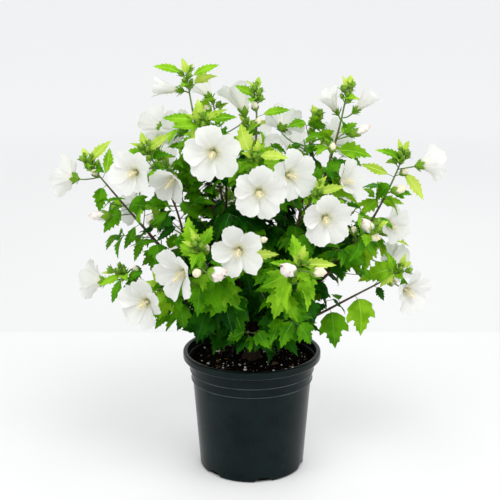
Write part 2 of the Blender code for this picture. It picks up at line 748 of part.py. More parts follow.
def fuse(mass, name):
    """One union joins the stem with everything on it."""
    others = bpy.data.collections.new(name + "_pieces")
    bpy.context.scene.collection.children.link(others)
    for mesh in mass.bodies[1:]:
        others.objects.link(bpy.data.objects.new(name + "_piece", mesh))
    whole = finished(name, mass.bodies[0], "leaf")
    join = whole.modifiers.new("fuse", "BOOLEAN")
    join.operation = "UNION"
    join.operand_type = "COLLECTION"
    join.collection = others
    for solver in ("EXACT", "MANIFOLD"):
        join.solver = solver
        depsgraph = bpy.context.evaluated_depsgraph_get()
        fused = bpy.data.meshes.new_from_object(whole.evaluated_get(depsgraph))
        if keep_largest(fused):
            break
    whole.modifiers.clear()
    whole.data = fused
    for piece in list(others.objects):
        bpy.data.objects.remove(piece, do_unlink=True)
    bpy.data.collections.remove(others)
    return whole


def make_foliage(shoots, limbs):
    space = Space(shoots)
    masses = {name: Mass(shoot) for name, shoot in shoots.items()}
    for mass in masses.values():
        mass.add(make_stem(mass.shoot))
    heads = add_flowers(masses)
    for grow in (add_tuft, add_twigs):
        for mass in masses.values():
            others = [tree for other in masses.values() if other is not mass for tree in other.trees]
            grow(mass, space, limbs + heads + others)
    for name, mass in masses.items():
        fuse(mass, "foliage_" + name)


def main():
    clear_scene()
    pot = make_pot()
    soil = make_soil()
    trunk = finished("trunk", trunk_mesh(0), "bark")
    shoots = make_shoots()
    solids = [pot, soil, trunk] + make_boughs(shoots)
    make_foliage(shoots, [surface(solid.data) for solid in solids])


main()
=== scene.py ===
# The looks of a potted rose of sharon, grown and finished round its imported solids.
# The tables of shoots, flowers, shown leaves and gaps are in millimetres, and the rest is in metres.
# Azimuths are in degrees: 0 is +X, 90 the back and 270 the front.
import math
import random

import bmesh
import bpy
import numpy as np
from mathutils import Matrix, Vector, noise
from mathutils.bvhtree import BVHTree


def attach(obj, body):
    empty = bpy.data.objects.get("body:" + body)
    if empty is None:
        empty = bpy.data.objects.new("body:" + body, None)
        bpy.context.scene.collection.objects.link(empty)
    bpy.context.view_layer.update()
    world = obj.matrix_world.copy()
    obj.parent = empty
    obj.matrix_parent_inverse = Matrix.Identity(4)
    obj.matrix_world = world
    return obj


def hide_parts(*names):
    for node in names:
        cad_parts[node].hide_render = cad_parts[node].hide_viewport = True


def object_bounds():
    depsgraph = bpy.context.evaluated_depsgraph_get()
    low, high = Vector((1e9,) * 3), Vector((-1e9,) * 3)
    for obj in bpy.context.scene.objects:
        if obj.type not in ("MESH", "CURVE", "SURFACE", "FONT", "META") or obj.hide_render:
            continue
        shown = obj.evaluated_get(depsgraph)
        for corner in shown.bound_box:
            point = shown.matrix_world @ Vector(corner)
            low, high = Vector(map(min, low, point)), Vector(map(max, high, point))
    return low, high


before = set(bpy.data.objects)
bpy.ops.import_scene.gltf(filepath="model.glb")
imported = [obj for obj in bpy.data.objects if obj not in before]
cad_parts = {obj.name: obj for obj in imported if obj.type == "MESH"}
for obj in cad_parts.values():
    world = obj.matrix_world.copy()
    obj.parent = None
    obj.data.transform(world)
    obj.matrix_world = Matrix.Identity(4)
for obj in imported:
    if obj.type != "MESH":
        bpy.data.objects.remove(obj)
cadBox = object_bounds()
mm = 0.001
up = Vector((0, 0, 1))
goldenTurn = 137.5
print("frame loaded")


# Small helpers

def heading(azimuth, lift=0.0):
    turn, rise = math.radians(azimuth), math.radians(lift)
    return Vector((math.cos(turn) * math.cos(rise), math.sin(turn) * math.cos(rise), math.sin(rise)))


def place(azimuth, reach, height):
    return heading(azimuth) * (reach * mm) + up * (height * mm)


def mixed(low, high, share):
    return low + (high - low) * min(max(share, 0), 1)


def eased(share):
    share = min(max(share, 0), 1)
    return share * share * (3 - 2 * share)


def straight(start, end, steps):
    return [tuple(mixed(a, b, step / steps) for a, b in zip(start, end)) for step in range(steps + 1)]


def arc(centre, radius, start, end, steps):
    turns = [math.radians(start + (end - start) * step / steps) for step in range(steps + 1)]
    return [(centre[0] + radius * math.cos(turn), centre[1] + radius * math.sin(turn)) for turn in turns]


def polar(turn, radius, height):
    return Vector((radius * math.cos(turn), radius * math.sin(turn), height))


def onCurve(start, middle, end, share):
    return start * (1 - share) ** 2 + middle * 2 * share * (1 - share) + end * share ** 2


def turned(vector, turn, axis):
    vector = vector.copy()
    vector.rotate(Matrix.Rotation(math.radians(turn), 3, axis))
    return vector


def sideOf(along, turn):
    # square to a stem, turned about it
    return turned(along.orthogonal().normalized(), turn, along)


def squareTo(along, vector):
    return (vector - along * vector.dot(along)).normalized()


def jitter(rng, x, y, z):
    return Vector((rng.uniform(-x, x), rng.uniform(-y, y), rng.uniform(-z, z)))


def widen(vert, factor):
    vert.co.x *= factor
    vert.co.y *= factor


def facesOf(verts):
    return {face for vert in verts for face in vert.link_faces}


def standing(origin, side, over, faces):
    # a frame at origin with these three axes
    turn = Matrix((side, over, faces)).transposed().to_4x4()
    return Matrix.Translation(origin) @ turn


def facing(origin, faces):
    # a frame whose third axis points along faces
    faces = faces.normalized()
    side = (up if abs(faces.z) < 0.95 else Vector((0, 1, 0))).cross(faces).normalized()
    return standing(origin, side, faces.cross(side), faces)


def turnedRound(profile, steps):
    # a body spun round Z from an open profile of (radius, height) that starts and ends on the axis
    bm = bmesh.new()
    points = [bm.verts.new((radius, 0, height)) for radius, height in profile]
    edges = [bm.edges.new(pair) for pair in zip(points, points[1:])]
    bmesh.ops.spin(bm, geom=points + edges, axis=up, cent=(0, 0, 0), angle=math.tau, steps=steps,
                   use_merge=True)
    bmesh.ops.remove_doubles(bm, verts=bm.verts, dist=1e-6)
    bmesh.ops.recalc_face_normals(bm, faces=bm.faces)
    return bm


def meshFrom(bm, name, sharpAngle=None):
    mesh = bpy.data.meshes.new(name)
    bm.to_mesh(mesh)
    bm.free()
    mesh.shade_smooth()
    if sharpAngle:
        mesh.set_sharp_from_angle(angle=math.radians(sharpAngle))
    return mesh


def addObject(name, data):
    made = bpy.data.objects.new(name, data)
    bpy.context.scene.collection.objects.link(made)
    return made


def addPiece(name, shape, materials, nodes=(), sharpAngle=None):
    # shape is a bmesh or what Joined has gathered
    mesh = shape.mesh(name) if isinstance(shape, Joined) else meshFrom(shape, name, sharpAngle)
    for material in materials:
        mesh.materials.append(material)
    piece = addObject(name, mesh)
    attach(piece, "root")
    if nodes:
        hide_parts(*nodes)
    print("piece", name, len(mesh.polygons), "faces")
    return piece


def cutAt(bm, height):
    geometry = bm.verts[:] + bm.edges[:] + bm.faces[:]
    bmesh.ops.bisect_plane(bm, geom=geometry, plane_co=(0, 0, height), plane_no=up)


# Many small things: templates as arrays, copied or bent into joined meshes

def templateFrom(bm):
    bmesh.ops.remove_doubles(bm, verts=bm.verts, dist=1e-6)
    bm.verts.index_update()
    spots = np.array([tuple(vert.co) for vert in bm.verts])
    faces = [[vert.index for vert in face.verts] for face in bm.faces]
    slots = [face.material_index for face in bm.faces]
    bm.free()
    return {"spots": spots, "faces": faces, "slots": slots}


class Joined:
    # gathers copies of templates, and makes one mesh of them
    def __init__(self):
        self.spots, self.faces, self.slots, self.count = [], [], [], 0

    def take(self, spots, template, slots=None):
        first = self.count
        self.spots.append(spots)
        self.faces += [[first + corner for corner in face] for face in template["faces"]]
        self.slots += template["slots"] if slots is None else slots
        self.count += len(spots)

    def join(self, other):
        self.take(np.concatenate(other.spots), {"faces": other.faces}, other.slots)

    def copy(self, template, matrix, slots=None):
        turn = np.array(matrix)
        spots = template["spots"] @ turn[:3, :3].T + turn[:3, 3]
        self.take(spots, template, [slots[slot] for slot in template["slots"]] if slots else None)

    def bend(self, template, path, radii, slot=0):
        # a straight template along Z from 0 to 1, bent along a quadratic curve
        start, middle, end = (np.array(spot) for spot in path)
        share = template["spots"][:, 2:3]
        rest = 1 - share
        centre = start * rest * rest + middle * 2 * share * rest + end * share * share
        along = (middle - start) * rest + (end - middle) * share
        along /= np.maximum(np.linalg.norm(along, axis=1, keepdims=True), 1e-9)
        chord = end - start
        across = np.cross(chord, (0, 0, 1) if abs(chord[2]) < np.linalg.norm(chord) * 0.95 else (0, 1, 0))
        across = across - along * (along @ across)[:, None]
        across /= np.linalg.norm(across, axis=1, keepdims=True)
        third = np.cross(along, across)
        radius = radii[0] * rest + radii[1] * share
        spots = centre + (across * template["spots"][:, 0:1] + third * template["spots"][:, 1:2]) * radius
        self.take(spots, template, [slot] * len(template["faces"]))

    def mesh(self, name):
        mesh = bpy.data.meshes.new(name)
        mesh.from_pydata(np.concatenate(self.spots).tolist(), [], self.faces)
        mesh.polygons.foreach_set("material_index", self.slots)
        mesh.shade_smooth()
        return mesh


def rodTemplate(sides, rings):
    # a straight closed rod of radius 1 along Z from 0 to 1
    bm = bmesh.new()
    bmesh.ops.create_cone(bm, cap_ends=True, segments=sides, radius1=1, radius2=1, depth=1,
                          matrix=Matrix.Translation((0, 0, 0.5)))
    for ring in range(1, rings):
        cutAt(bm, ring / rings)
    return templateFrom(bm)


# Materials

def newMaterial(name, colour, roughness, shine, mottling=None, relief=None):
    # mottling and relief hold what mottle and bump are given after the material
    material = bpy.data.materials.new(name)
    material.use_nodes = True
    values = {"Base Color": (*colour, 1), "Roughness": roughness, "Specular IOR Level": shine}
    for socket, value in values.items():
        material.node_tree.nodes["Principled BSDF"].inputs[socket].default_value = value
    if mottling:
        mottle(material, *mottling)
    if relief:
        bump(material, *relief)
    return material


def addNode(material, kind, values={}, feeds={}):
    # a shader node with its sockets set, or fed by the outputs of other nodes
    node = material.node_tree.nodes.new("ShaderNode" + kind)
    for socket, value in values.items():
        node.inputs[socket].default_value = value
    for socket, output in feeds.items():
        material.node_tree.links.new(output, node.inputs[socket])
    return node


def feedShader(material, socket, output):
    shader = material.node_tree.nodes["Principled BSDF"]
    material.node_tree.links.new(output, shader.inputs[socket])


def addNoise(material, scale, detail=4.0, stretch=(1, 1, 1), source="Object"):
    where = addNode(material, "TexCoord").outputs[source]
    spot = addNode(material, "Mapping", {"Scale": stretch}, {"Vector": where}).outputs["Vector"]
    grain = addNode(material, "TexNoise", {"Scale": scale, "Detail": detail}, {"Vector": spot})
    return grain.outputs["Fac"]


def mottle(material, first, second, scale, spread=(0.35, 0.65), stretch=(1, 1, 1)):
    # the base colour wanders between two colours
    ramp = addNode(material, "ValToRGB", {}, {"Fac": addNoise(material, scale, stretch=stretch)})
    for element, position, colour in zip(ramp.color_ramp.elements, spread, (first, second)):
        element.position = position
        element.color = (*colour, 1)
    feedShader(material, "Base Color", ramp.outputs["Color"])


def roughen(material, low, high, scale):
    grain = addNoise(material, scale)
    span = addNode(material, "MapRange", {"To Min": low, "To Max": high}, {"Value": grain})
    feedShader(material, "Roughness", span.outputs["Result"])


def bump(material, scale, strength, distance, stretch=(1, 1, 1), source="Object", detail=4.0):
    grain = addNoise(material, scale, detail, stretch, source)
    relief = addNode(material, "Bump", {"Strength": strength, "Distance": distance}, {"Height": grain})
    feedShader(material, "Normal", relief.outputs["Normal"])


def letLightThrough(material, share, colour):
    nodes, links = material.node_tree.nodes, material.node_tree.links
    glow = addNode(material, "BsdfTranslucent", {"Color": (*colour, 1)})
    plain = nodes["Principled BSDF"].outputs["BSDF"]
    mix = addNode(material, "MixShader", {0: share}, {1: plain, 2: glow.outputs["BSDF"]})
    links.new(mix.outputs["Shader"], nodes["Material Output"].inputs["Surface"])


def leafMaterial(name, first, second, glow, share):
    material = newMaterial(name, first, 0.5, 0.045, (first, second, 34, (0.40, 0.60)), (420, 0.35, 0.0006))
    letLightThrough(material, share, glow)
    return material


def petalMaterial(name, colour, glow):
    material = newMaterial(name, colour, 0.62, 0.25, None, (7, 0.7, 0.0016, (6, 0.7, 1), "UV", 3.0))
    material.node_tree.nodes["Principled BSDF"].inputs["Sheen Weight"].default_value = 0.15
    letLightThrough(material, 0.33, glow)
    return material


# Studio: camera, lights and floor

studio = {
    "eye": (-0.0034, -2.0, 0.954), "pitch": 15.29, "lens": 83.9, "sensor": 36.0,
    "paperEdge": 0.72,      # where the white paper ends behind the pot
    "aim": (0, 0, 0.40),    # where the lamps point
    "sky": 0.955, "skyColour": (0.985, 0.992, 1.0, 1),
}
lamps = {
    "key": {"at": (0.30, -1.10, 2.2), "size": 1.1, "power": 16.8},
    "fill": {"at": (-1.7, -1.2, 1.5), "size": 1.8, "power": 12.0},
    "rear": {"at": (0.2, 1.7, 1.9), "size": 1.4, "power": 9.0},
    "side": {"at": (1.8, -0.7, 1.1), "size": 1.5, "power": 7.0},
}
# how white the ground is close to the pot and far from it, to even out the lamps
grounds = {
    "backdrop": {"near": 0.72, "far": 0.935, "from": 0.7, "to": 4.5, "size": 40.0, "height": -0.002},
    "paper": {"near": 0.850, "far": 0.755, "from": 0.12, "to": 0.40, "size": 6.0, "height": 0.0},
}


def addCamera():
    lens = bpy.data.cameras.new("camera")
    lens.lens = studio["lens"]
    lens.sensor_width = studio["sensor"]
    eye = addObject("camera", lens)
    eye.location = studio["eye"]
    eye.rotation_euler = (math.radians(90 - studio["pitch"]), 0, 0)
    bpy.context.scene.camera = eye


def addLight(name, light):
    lamp = bpy.data.lights.new(name, "AREA")
    lamp.shape = "DISK"
    lamp.size = light["size"]
    lamp.energy = light["power"]
    body = addObject(name, lamp)
    body.location = light["at"]
    aim = Vector(studio["aim"]) - Vector(light["at"])
    body.rotation_euler = aim.to_track_quat("-Z", "Y").to_euler()


def whiteByReach(material, ground):
    length = addNode(material, "VectorMath", {}, {0: addNode(material, "TexCoord").outputs["Object"]})
    length.operation = "LENGTH"
    reach = {"From Min": ground["from"], "From Max": ground["to"]}
    white = {"To Min": ground["near"], "To Max": ground["far"]}
    span = addNode(material, "MapRange", {**reach, **white}, {"Value": length.outputs["Value"]})
    span.interpolation_type = "SMOOTHSTEP"
    feedShader(material, "Base Color", span.outputs["Result"])


def addSheet(name, back):
    ground = grounds[name]
    bm = bmesh.new()
    bmesh.ops.create_grid(bm, x_segments=1, y_segments=1, size=ground["size"])
    for vert in bm.verts:
        vert.co = Vector((vert.co.x, min(vert.co.y, back), ground["height"]))
    mesh = meshFrom(bm, name)
    material = newMaterial(name, (0.9, 0.9, 0.9), 0.85, 0.1, None, (9, 0.04, 0.002))
    whiteByReach(material, ground)
    mesh.materials.append(material)
    addObject(name, mesh)


def buildStudio():
    addCamera()
    for name, light in lamps.items():
        addLight(name, light)
    world = bpy.data.worlds.new("sky")
    world.use_nodes = True
    sky = world.node_tree.nodes["Background"]
    sky.inputs["Color"].default_value = studio["skyColour"]
    sky.inputs["Strength"].default_value = studio["sky"]
    bpy.context.scene.world = world
    bpy.context.scene.view_settings.view_transform = "Standard"
    addSheet("backdrop", grounds["backdrop"]["size"])
    addSheet("paper", studio["paperEdge"])


buildStudio()
print("studio ready")


# Pot

pot = {
    "steps": 192, "height": 0.221, "rimRadius": 0.125, "rimWidth": 0.008, "rimDepth": 0.013, "roll": 0.0026,
    "neckRadius": 0.1140, "bodyTopRadius": 0.1077, "baseRadius": 0.0957, "baseRound": 0.005,
    "ridges": ((0.169, 0.1077, 0.1104), (0.186, 0.1104, 0.1128)), "ridgeRound": 0.0009,
    "wall": 0.0022, "floor": 0.003,
    "notches": 6, "notchWidth": 0.032, "notchRise": 0.0080, "notchReach": 0.010, "firstNotch": 283,
    "notchRamp": 0.004, "notchFade": 0.022,     # the width of its inner slope, and the height where it ends
    "underside": 0.0029, "skin": 0.0021,        # it lifts what is lower than this, or this near the outside
}


def potOutside():
    base, rounding = pot["baseRadius"], pot["baseRound"]
    wall = [(0, 0), (0.03, 0), (0.06, 0), (base - 0.016, 0), (base - 0.012, 0), (base - 0.009, 0)]
    wall += arc((base - rounding, rounding), rounding, -90, -6, 6)
    foot = (base, rounding + 0.003)
    for height, under, over in pot["ridges"]:
        wall += straight(foot, (under, height - 0.002), 5)
        wall += arc((over - 0.0004, height), pot["ridgeRound"], -75, 80, 6)
        foot = (over - 0.0002, height + 0.0024)
    low = pot["height"] - pot["rimDepth"]
    neck = pot["neckRadius"]
    wall += straight(foot, (neck, low - 0.0022), 4)
    return wall + [(neck + 0.0006, low - 0.0006), (neck + 0.0022, low)]


def potLip():
    low, high = pot["height"] - pot["rimDepth"], pot["height"]
    outer, inner, roll = pot["rimRadius"], pot["rimRadius"] - pot["rimWidth"], pot["roll"]
    lip = arc((outer - roll * 0.7, low + roll * 0.7), roll * 0.7, -90, 0, 4)
    lip += [(outer, (low + high) / 2)]
    lip += arc((outer - roll, high - roll), roll, 0, 90, 6)
    lip += arc((inner + roll * 0.8, high - roll * 0.8), roll * 0.8, 90, 180, 5)
    return lip + [(inner - 0.0004, high - 0.006)]


def potInside():
    wall = pot["wall"]
    top = (pot["neckRadius"] - wall, pot["height"] - pot["rimDepth"] - 0.0034)
    knee = (pot["bodyTopRadius"] - wall, pot["ridges"][0][0] - wall)
    floor = (pot["baseRadius"] - wall - 0.0012, pot["floor"])
    return [(top[0] + 0.003, top[1] + 0.0022), top, knee, floor, (0, pot["floor"])]


def notchLift(spot):
    # how high a drain notch lifts the foot's edge at a place
    azimuth = math.degrees(math.atan2(spot.y, spot.x)) - pot["firstNotch"]
    step = 360 / pot["notches"]
    off = abs((azimuth + step / 2) % step - step / 2)
    aside = math.radians(off) * pot["baseRadius"] / (pot["notchWidth"] / 2)
    if aside >= 1:
        return 0.0
    inward = (spot.xy.length - (pot["baseRadius"] - pot["notchReach"] - pot["notchRamp"])) / pot["notchRamp"]
    return pot["notchRise"] * (1 - aside ** 4) * eased(inward)


def potFinish(face):
    # 0 plain plastic, 1 a painted highlight on the ridges and the lip's edge, 2 the inside, darker as
    # painted shade
    middle = face.calc_center_median()
    reach, low = middle.xy.length, pot["height"] - pot["rimDepth"]
    # inward faces below the rim take the painted shade
    if face.normal.dot(Vector((middle.x, middle.y, 0))) < -0.02 and middle.z < pot["height"] - 0.003:
        return 2
    # the lip's edge and the ridge crests take the painted highlight
    if low - mm < middle.z < low + 0.0012 and reach > pot["rimRadius"] - pot["roll"]:
        return 1
    return int(any(abs(middle.z - height - 0.0004) < 0.0008 and reach > over - 0.0002
                   for height, under, over in pot["ridges"]))


def makePot():
    bm = turnedRound(potOutside() + potLip() + potInside(), pot["steps"])
    for vert in bm.verts:
        isOuter = vert.co.z < pot["underside"] or vert.co.xy.length > pot["baseRadius"] - pot["skin"]
        if isOuter and vert.co.z < pot["notchFade"]:
            vert.co.z += notchLift(vert.co) * (1 - vert.co.z / pot["notchFade"])
    for face in bm.faces:
        face.material_index = potFinish(face)
    plastic = newMaterial("blackPlastic", (0.0010, 0.0062, 0.0065), 0.40, 0.13,
                          ((0.0004, 0.0045, 0.0048), (0.0024, 0.0092, 0.0096), 26), (260, 0.05, 0.0004))
    roughen(plastic, 0.19, 0.31, 55)
    # a lighter colour on the ridges and the lip's edge: a painted highlight
    paintedHighlight = newMaterial("paintedHighlightEdge", (0.045, 0.060, 0.062), 0.42, 0.35,
                       ((0.018, 0.028, 0.029), (0.050, 0.064, 0.066), 60), (260, 0.1, 0.0005))
    # a darker, duller inside wall: painted shade under the foliage
    paintedShade = newMaterial("paintedShadeInside", (0.0020, 0.0040, 0.0045), 0.8, 0.05,
                        ((0.0010, 0.0025, 0.0030), (0.0060, 0.0070, 0.0065), 70), (260, 0.2, 0.0005))
    addPiece("nurseryPot", bm, [plastic, paintedHighlight, paintedShade], ["pot"], 50)


# Potting mix

soil = {"level": 0.2050, "fall": 0.003, "wallRadius": 0.1110, "rings": 44, "steps": 150, "clod": 0.0030,
        "knee": (0.1051, 0.1660), "footRadius": 0.0919, "foot": 0.0033, "scattered": 0.955}
# the topping: how many, sizes from and to, width and thickness as shares, seed, how high they stand
topping = {
    "perlite": (46, (0.0011, 0.0032), (1.0, 0.8), 3, 0.35),
    "grit": (170, (0.0004, 0.0010), (1.0, 0.8), 4, 0.5),
    "chips": (120, (0.0015, 0.0052), (0.40, 0.20), 5, 0.30),
    "crumbs": (620, (0.0010, 0.0032), (1.0, 0.7), 9, 0.1),
}


def soilHeight(x, y):
    reach = math.hypot(x, y) / soil["wallRadius"]
    spot = Vector((x, y, 0.7))
    rough = noise.noise(spot * 90) * 0.6 + noise.noise(spot * 210) * 0.4 + noise.noise(spot * 480) * 0.25
    return soil["level"] - soil["fall"] * reach + rough * soil["clod"]


def makeSoil():
    wall = [(soil["wallRadius"], soil["level"] - soil["fall"]), soil["knee"],
            (soil["footRadius"], soil["foot"]), (0, soil["foot"])]
    top = [(soil["wallRadius"] * ring / soil["rings"], soil["level"]) for ring in range(soil["rings"])]
    bm = turnedRound(top + wall, soil["steps"])
    for vert in bm.verts:
        if vert.co.z > soil["level"] - soil["fall"] - mm:
            vert.co.z = soilHeight(vert.co.x, vert.co.y)
    mix = newMaterial("pottingMix", (0.003, 0.002, 0.0015), 0.95, 0.02,
                      ((0.0008, 0.0008, 0.0005), (0.008, 0.005, 0.003), 240), (700, 0.8, 0.0015))
    addPiece("pottingMix", bm, [mix], ["soil"])


def lumpTemplate(seed, rough):
    rng = random.Random(seed)
    bm = bmesh.new()
    bmesh.ops.create_icosphere(bm, subdivisions=1, radius=1)
    for vert in bm.verts:
        vert.co *= 1 + rng.uniform(-rough, rough)
    return templateFrom(bm)


def chipTemplate(seed):
    rng = random.Random(seed)
    bm = bmesh.new()
    bmesh.ops.create_cube(bm, size=2)
    bmesh.ops.bevel(bm, geom=bm.edges[:], offset=0.3, segments=1, profile=0.5, affect="EDGES", material=-1)
    for vert in bm.verts:
        vert.co += jitter(rng, 0.2, 0.2, 0.2)
    return templateFrom(bm)


def scatter(templates, count, sizes, flat, seed, rise):
    rng = random.Random(seed)
    joined = Joined()
    for index in range(count):
        turn = rng.uniform(0, math.tau)
        reach = soil["wallRadius"] * soil["scattered"] * math.sqrt(rng.uniform(0.03, 1))
        x, y = reach * math.cos(turn), reach * math.sin(turn)
        size = mixed(sizes[0], sizes[1], rng.random() ** 2)
        spin = Matrix.Rotation(rng.uniform(0, math.tau), 4, "Z")
        spin = spin @ Matrix.Rotation(rng.uniform(-0.5, 0.5), 4, "X")
        shape = Matrix.Diagonal((size * rng.uniform(0.8, 1.3), size * flat[0], size * flat[1], 1))
        at = Matrix.Translation((x, y, soilHeight(x, y) + size * rise))
        joined.copy(templates[index % len(templates)], at @ spin @ shape)
    return joined


def makeTopping():
    lumps = [lumpTemplate(seed, 0.22) for seed in range(5)]
    chips = [chipTemplate(seed) for seed in range(4)]
    white = newMaterial("perlite", (0.78, 0.76, 0.72), 0.9, 0.5,
                        ((0.62, 0.60, 0.55), (0.86, 0.85, 0.82), 700), (1500, 0.5, 0.0004))
    tan = newMaterial("barkChips", (0.05, 0.028, 0.014), 0.9, 0.1,
                      ((0.014, 0.008, 0.004), (0.150, 0.085, 0.035), 60, (0.45, 0.72)), (900, 0.6, 0.0006))
    dark = newMaterial("crumbs", (0.003, 0.002, 0.0015), 0.95, 0.02,
                       ((0.001, 0.0008, 0.0005), (0.009, 0.006, 0.003), 300), (900, 0.6, 0.0006))
    grains = scatter(lumps, *topping["perlite"])
    grains.join(scatter(lumps, *topping["grit"]))
    addPiece("perlite", grains, [white])
    addPiece("barkChips", scatter(chips, *topping["chips"]), [tan])
    addPiece("crumbs", scatter(lumps, *topping["crumbs"]), [dark])


makePot()
makeSoil()
makeTopping()
print("pot and mix ready")


# Shoots, by the source's rule

trunk = {"foot": 0.2053, "top": 0.318, "footRadius": 0.0125, "topRadius": 0.0085, "flareRadius": 0.0185,
         "flareHeight": 0.016, "flareRoots": 4, "lean": 0.004, "bow": 0.002}
growth = {"slenderness": 0.0130, "childShare": 0.72, "boughShare": 0.20, "pastChild": 0.06, "wave": 0.0035,
          "tipRadius": 0.0012}

# azimuth, reach and height of the tip, arch, what carries the shoot, and how high on it
shootTable = {
    "low_left": (186, 240, 376, -5, "trunk", 232),
    "low_right": (359, 268, 372, -10, "trunk", 236),
    "front_right": (290, 225, 445, -15, "trunk", 240),
    "front_left": (246, 220, 470, -15, "trunk", 250),
    "back_left": (148, 215, 595, -15, "trunk", 266),
    "back_right": (48, 250, 510, -15, "trunk", 250),
    "far_left": (176, 292, 566, -15, "trunk", 250),
    "right": (4, 268, 578, -60, "trunk", 264),
    "back": (92, 190, 600, -10, "trunk", 272),
    "top_right": (7, 167, 692, -40, "trunk", 288),
    "top_left": (165, 117, 712, -25, "trunk", 284),
    "top_centre": (20, 10, 690, 0, "trunk", 312),
    "low_left_front": (214, 190, 375, 5, "low_left", 0.28),
    "left_upper": (195, 187, 600, 20, "far_left", 0.34),
    "top_left_front": (219, 110, 650, 15, "top_left", 0.36),
    "back_left_top": (122, 135, 665, 15, "top_left", 0.28),
    "centre_front": (272, 125, 600, 20, "top_centre", 0.30),
    "front_mid": (266, 165, 440, 10, "top_centre", 0.12),
    "mid_right": (312, 160, 540, 15, "top_right", 0.26),
    "back_right_top": (38, 150, 630, 15, "top_right", 0.36),
    "right_front": (335, 225, 470, 10, "right", 0.30),
    "right_back": (20, 260, 420, 10, "right", 0.18),
    "back_low_left": (118, 250, 385, 10, "back_left", 0.22),
    "back_low_right": (72, 240, 375, 10, "back_right", 0.20),
}
# low leafy shoots from the trunk, which have no bough
skirtTable = {
    "skirt_front": (266, 100, 290, 219),
    "skirt_right": (322, 110, 285, 223),
    "skirt_back_right": (30, 105, 285, 218),
    "skirt_back": (88, 100, 290, 222),
    "skirt_back_left": (146, 105, 285, 219),
    "skirt_left": (208, 110, 285, 223),
}


def trunkAxis(height):
    share = (height - trunk["foot"]) / (trunk["top"] - trunk["foot"])
    return Vector((trunk["lean"] * share, -trunk["bow"] * math.sin(math.pi * share), height))


def trunkRadius(height):
    share = (height - trunk["foot"]) / (trunk["top"] - trunk["foot"])
    return mixed(trunk["footRadius"], trunk["topRadius"], share)


class Shoot:
    # one stem, from what carries it to its tip, with its bough as far as boughEnd
    def __init__(self, name, index, tip, arch, carrier, foot, boughEnd):
        self.name, self.index, self.boughEnd, self.tip = name, index, boughEnd, tip
        self.start = carrier.point(foot) if carrier else trunkAxis(foot * mm)
        limit = carrier.radius(foot) if carrier else trunkRadius(foot * mm)
        outward = Vector((tip.x, tip.y, 0)).normalized()
        self.middle = (self.start + tip) / 2 + (up - outward) * (arch * mm)
        self.sideways = up.cross(tip - self.start).normalized()
        self.phase = index * 1.7
        self.length = (self.middle - self.start).length + (tip - self.middle).length
        self.footRadius = min(self.length * growth["slenderness"], limit * growth["childShare"])

    def point(self, share):
        rest = 1 - share
        bend = self.start * rest * rest + self.middle * 2 * share * rest + self.tip * share * share
        wave = math.sin(share * 9 + self.phase) - math.sin(self.phase) * rest
        return bend + self.sideways * (wave * growth["wave"] * 4 * share * rest)

    def along(self, share):
        return (self.point(min(share + 0.01, 1)) - self.point(max(share - 0.01, 0))).normalized()

    def radius(self, share):
        return mixed(self.footRadius, growth["tipRadius"], share ** 0.8)


def makeShoots():
    ends = {name: growth["boughShare"] for name in shootTable}
    for row in shootTable.values():
        carrier, foot = row[4:]
        if carrier in ends:
            ends[carrier] = max(ends[carrier], foot + growth["pastChild"])
    made = {}
    for index, (name, row) in enumerate(shootTable.items()):
        arch, carrier, foot = row[3:]
        made[name] = Shoot(name, index, place(*row[:3]), arch, made.get(carrier), foot, ends[name])
    for name, (azimuth, reach, height, foot) in skirtTable.items():
        made[name] = Shoot(name, len(made), place(azimuth, reach, height), 0, None, foot, 0)
    return made


shoots = makeShoots()


# Trunk and boughs, as one body with the bark's relief

bark = {"voxel": 0.0010, "trunkRelief": 0.0008, "boughRelief": 0.00022, "grain": (190, 190, 45),
        "sunk": 0.004, "collar": 0.35, "collarReach": 0.012, "fineFrom": 0.29, "fineOver": 0.05}


def addTube(bm, path, alongs, radii, sides):
    across = alongs[0].orthogonal().normalized()
    rings = []
    for point, along, radius in zip(path, alongs, radii):
        across = squareTo(along, across)
        rings.append(standing(point, across, along.cross(across), along) @ Matrix.Scale(radius, 4))
    first = bmesh.ops.create_circle(bm, cap_ends=True, segments=sides, radius=1, matrix=rings[0])["verts"]
    end = list(facesOf(first))
    for index, (last, ring) in enumerate(zip(rings, rings[1:])):
        grown = bmesh.ops.extrude_face_region(bm, geom=end)["geom"]
        if index > 0:
            bmesh.ops.delete(bm, geom=end, context="FACES_ONLY")
        end = [item for item in grown if isinstance(item, bmesh.types.BMFace)]
        verts = [item for item in grown if isinstance(item, bmesh.types.BMVert)]
        bmesh.ops.transform(bm, matrix=ring @ last.inverted(), verts=verts)


def addTrunk(bm):
    foot = trunk["foot"] - bark["sunk"]
    heights = [foot + (trunk["top"] - foot) * step / 22 for step in range(23)]
    radii = []
    for height in heights:
        flare = max(0, 1 - (height - foot) / (trunk["flareHeight"] + bark["sunk"]))
        radii.append(trunkRadius(height) + (trunk["flareRadius"] - trunk["footRadius"]) * flare ** 1.6)
    heights += [trunk["top"] + 0.002, trunk["top"] + 0.0035]
    radii += [trunk["topRadius"] * 0.85, trunk["topRadius"] * 0.4]
    path = [trunkAxis(height) for height in heights]
    addTube(bm, path, [up] * len(path), radii, 32)
    for vert in bm.verts:
        flare = eased(1 - (vert.co.z - foot) / (trunk["flareHeight"] * 2))
        widen(vert, 1 + 0.16 * flare * math.cos(trunk["flareRoots"] * math.atan2(vert.co.y, vert.co.x)))


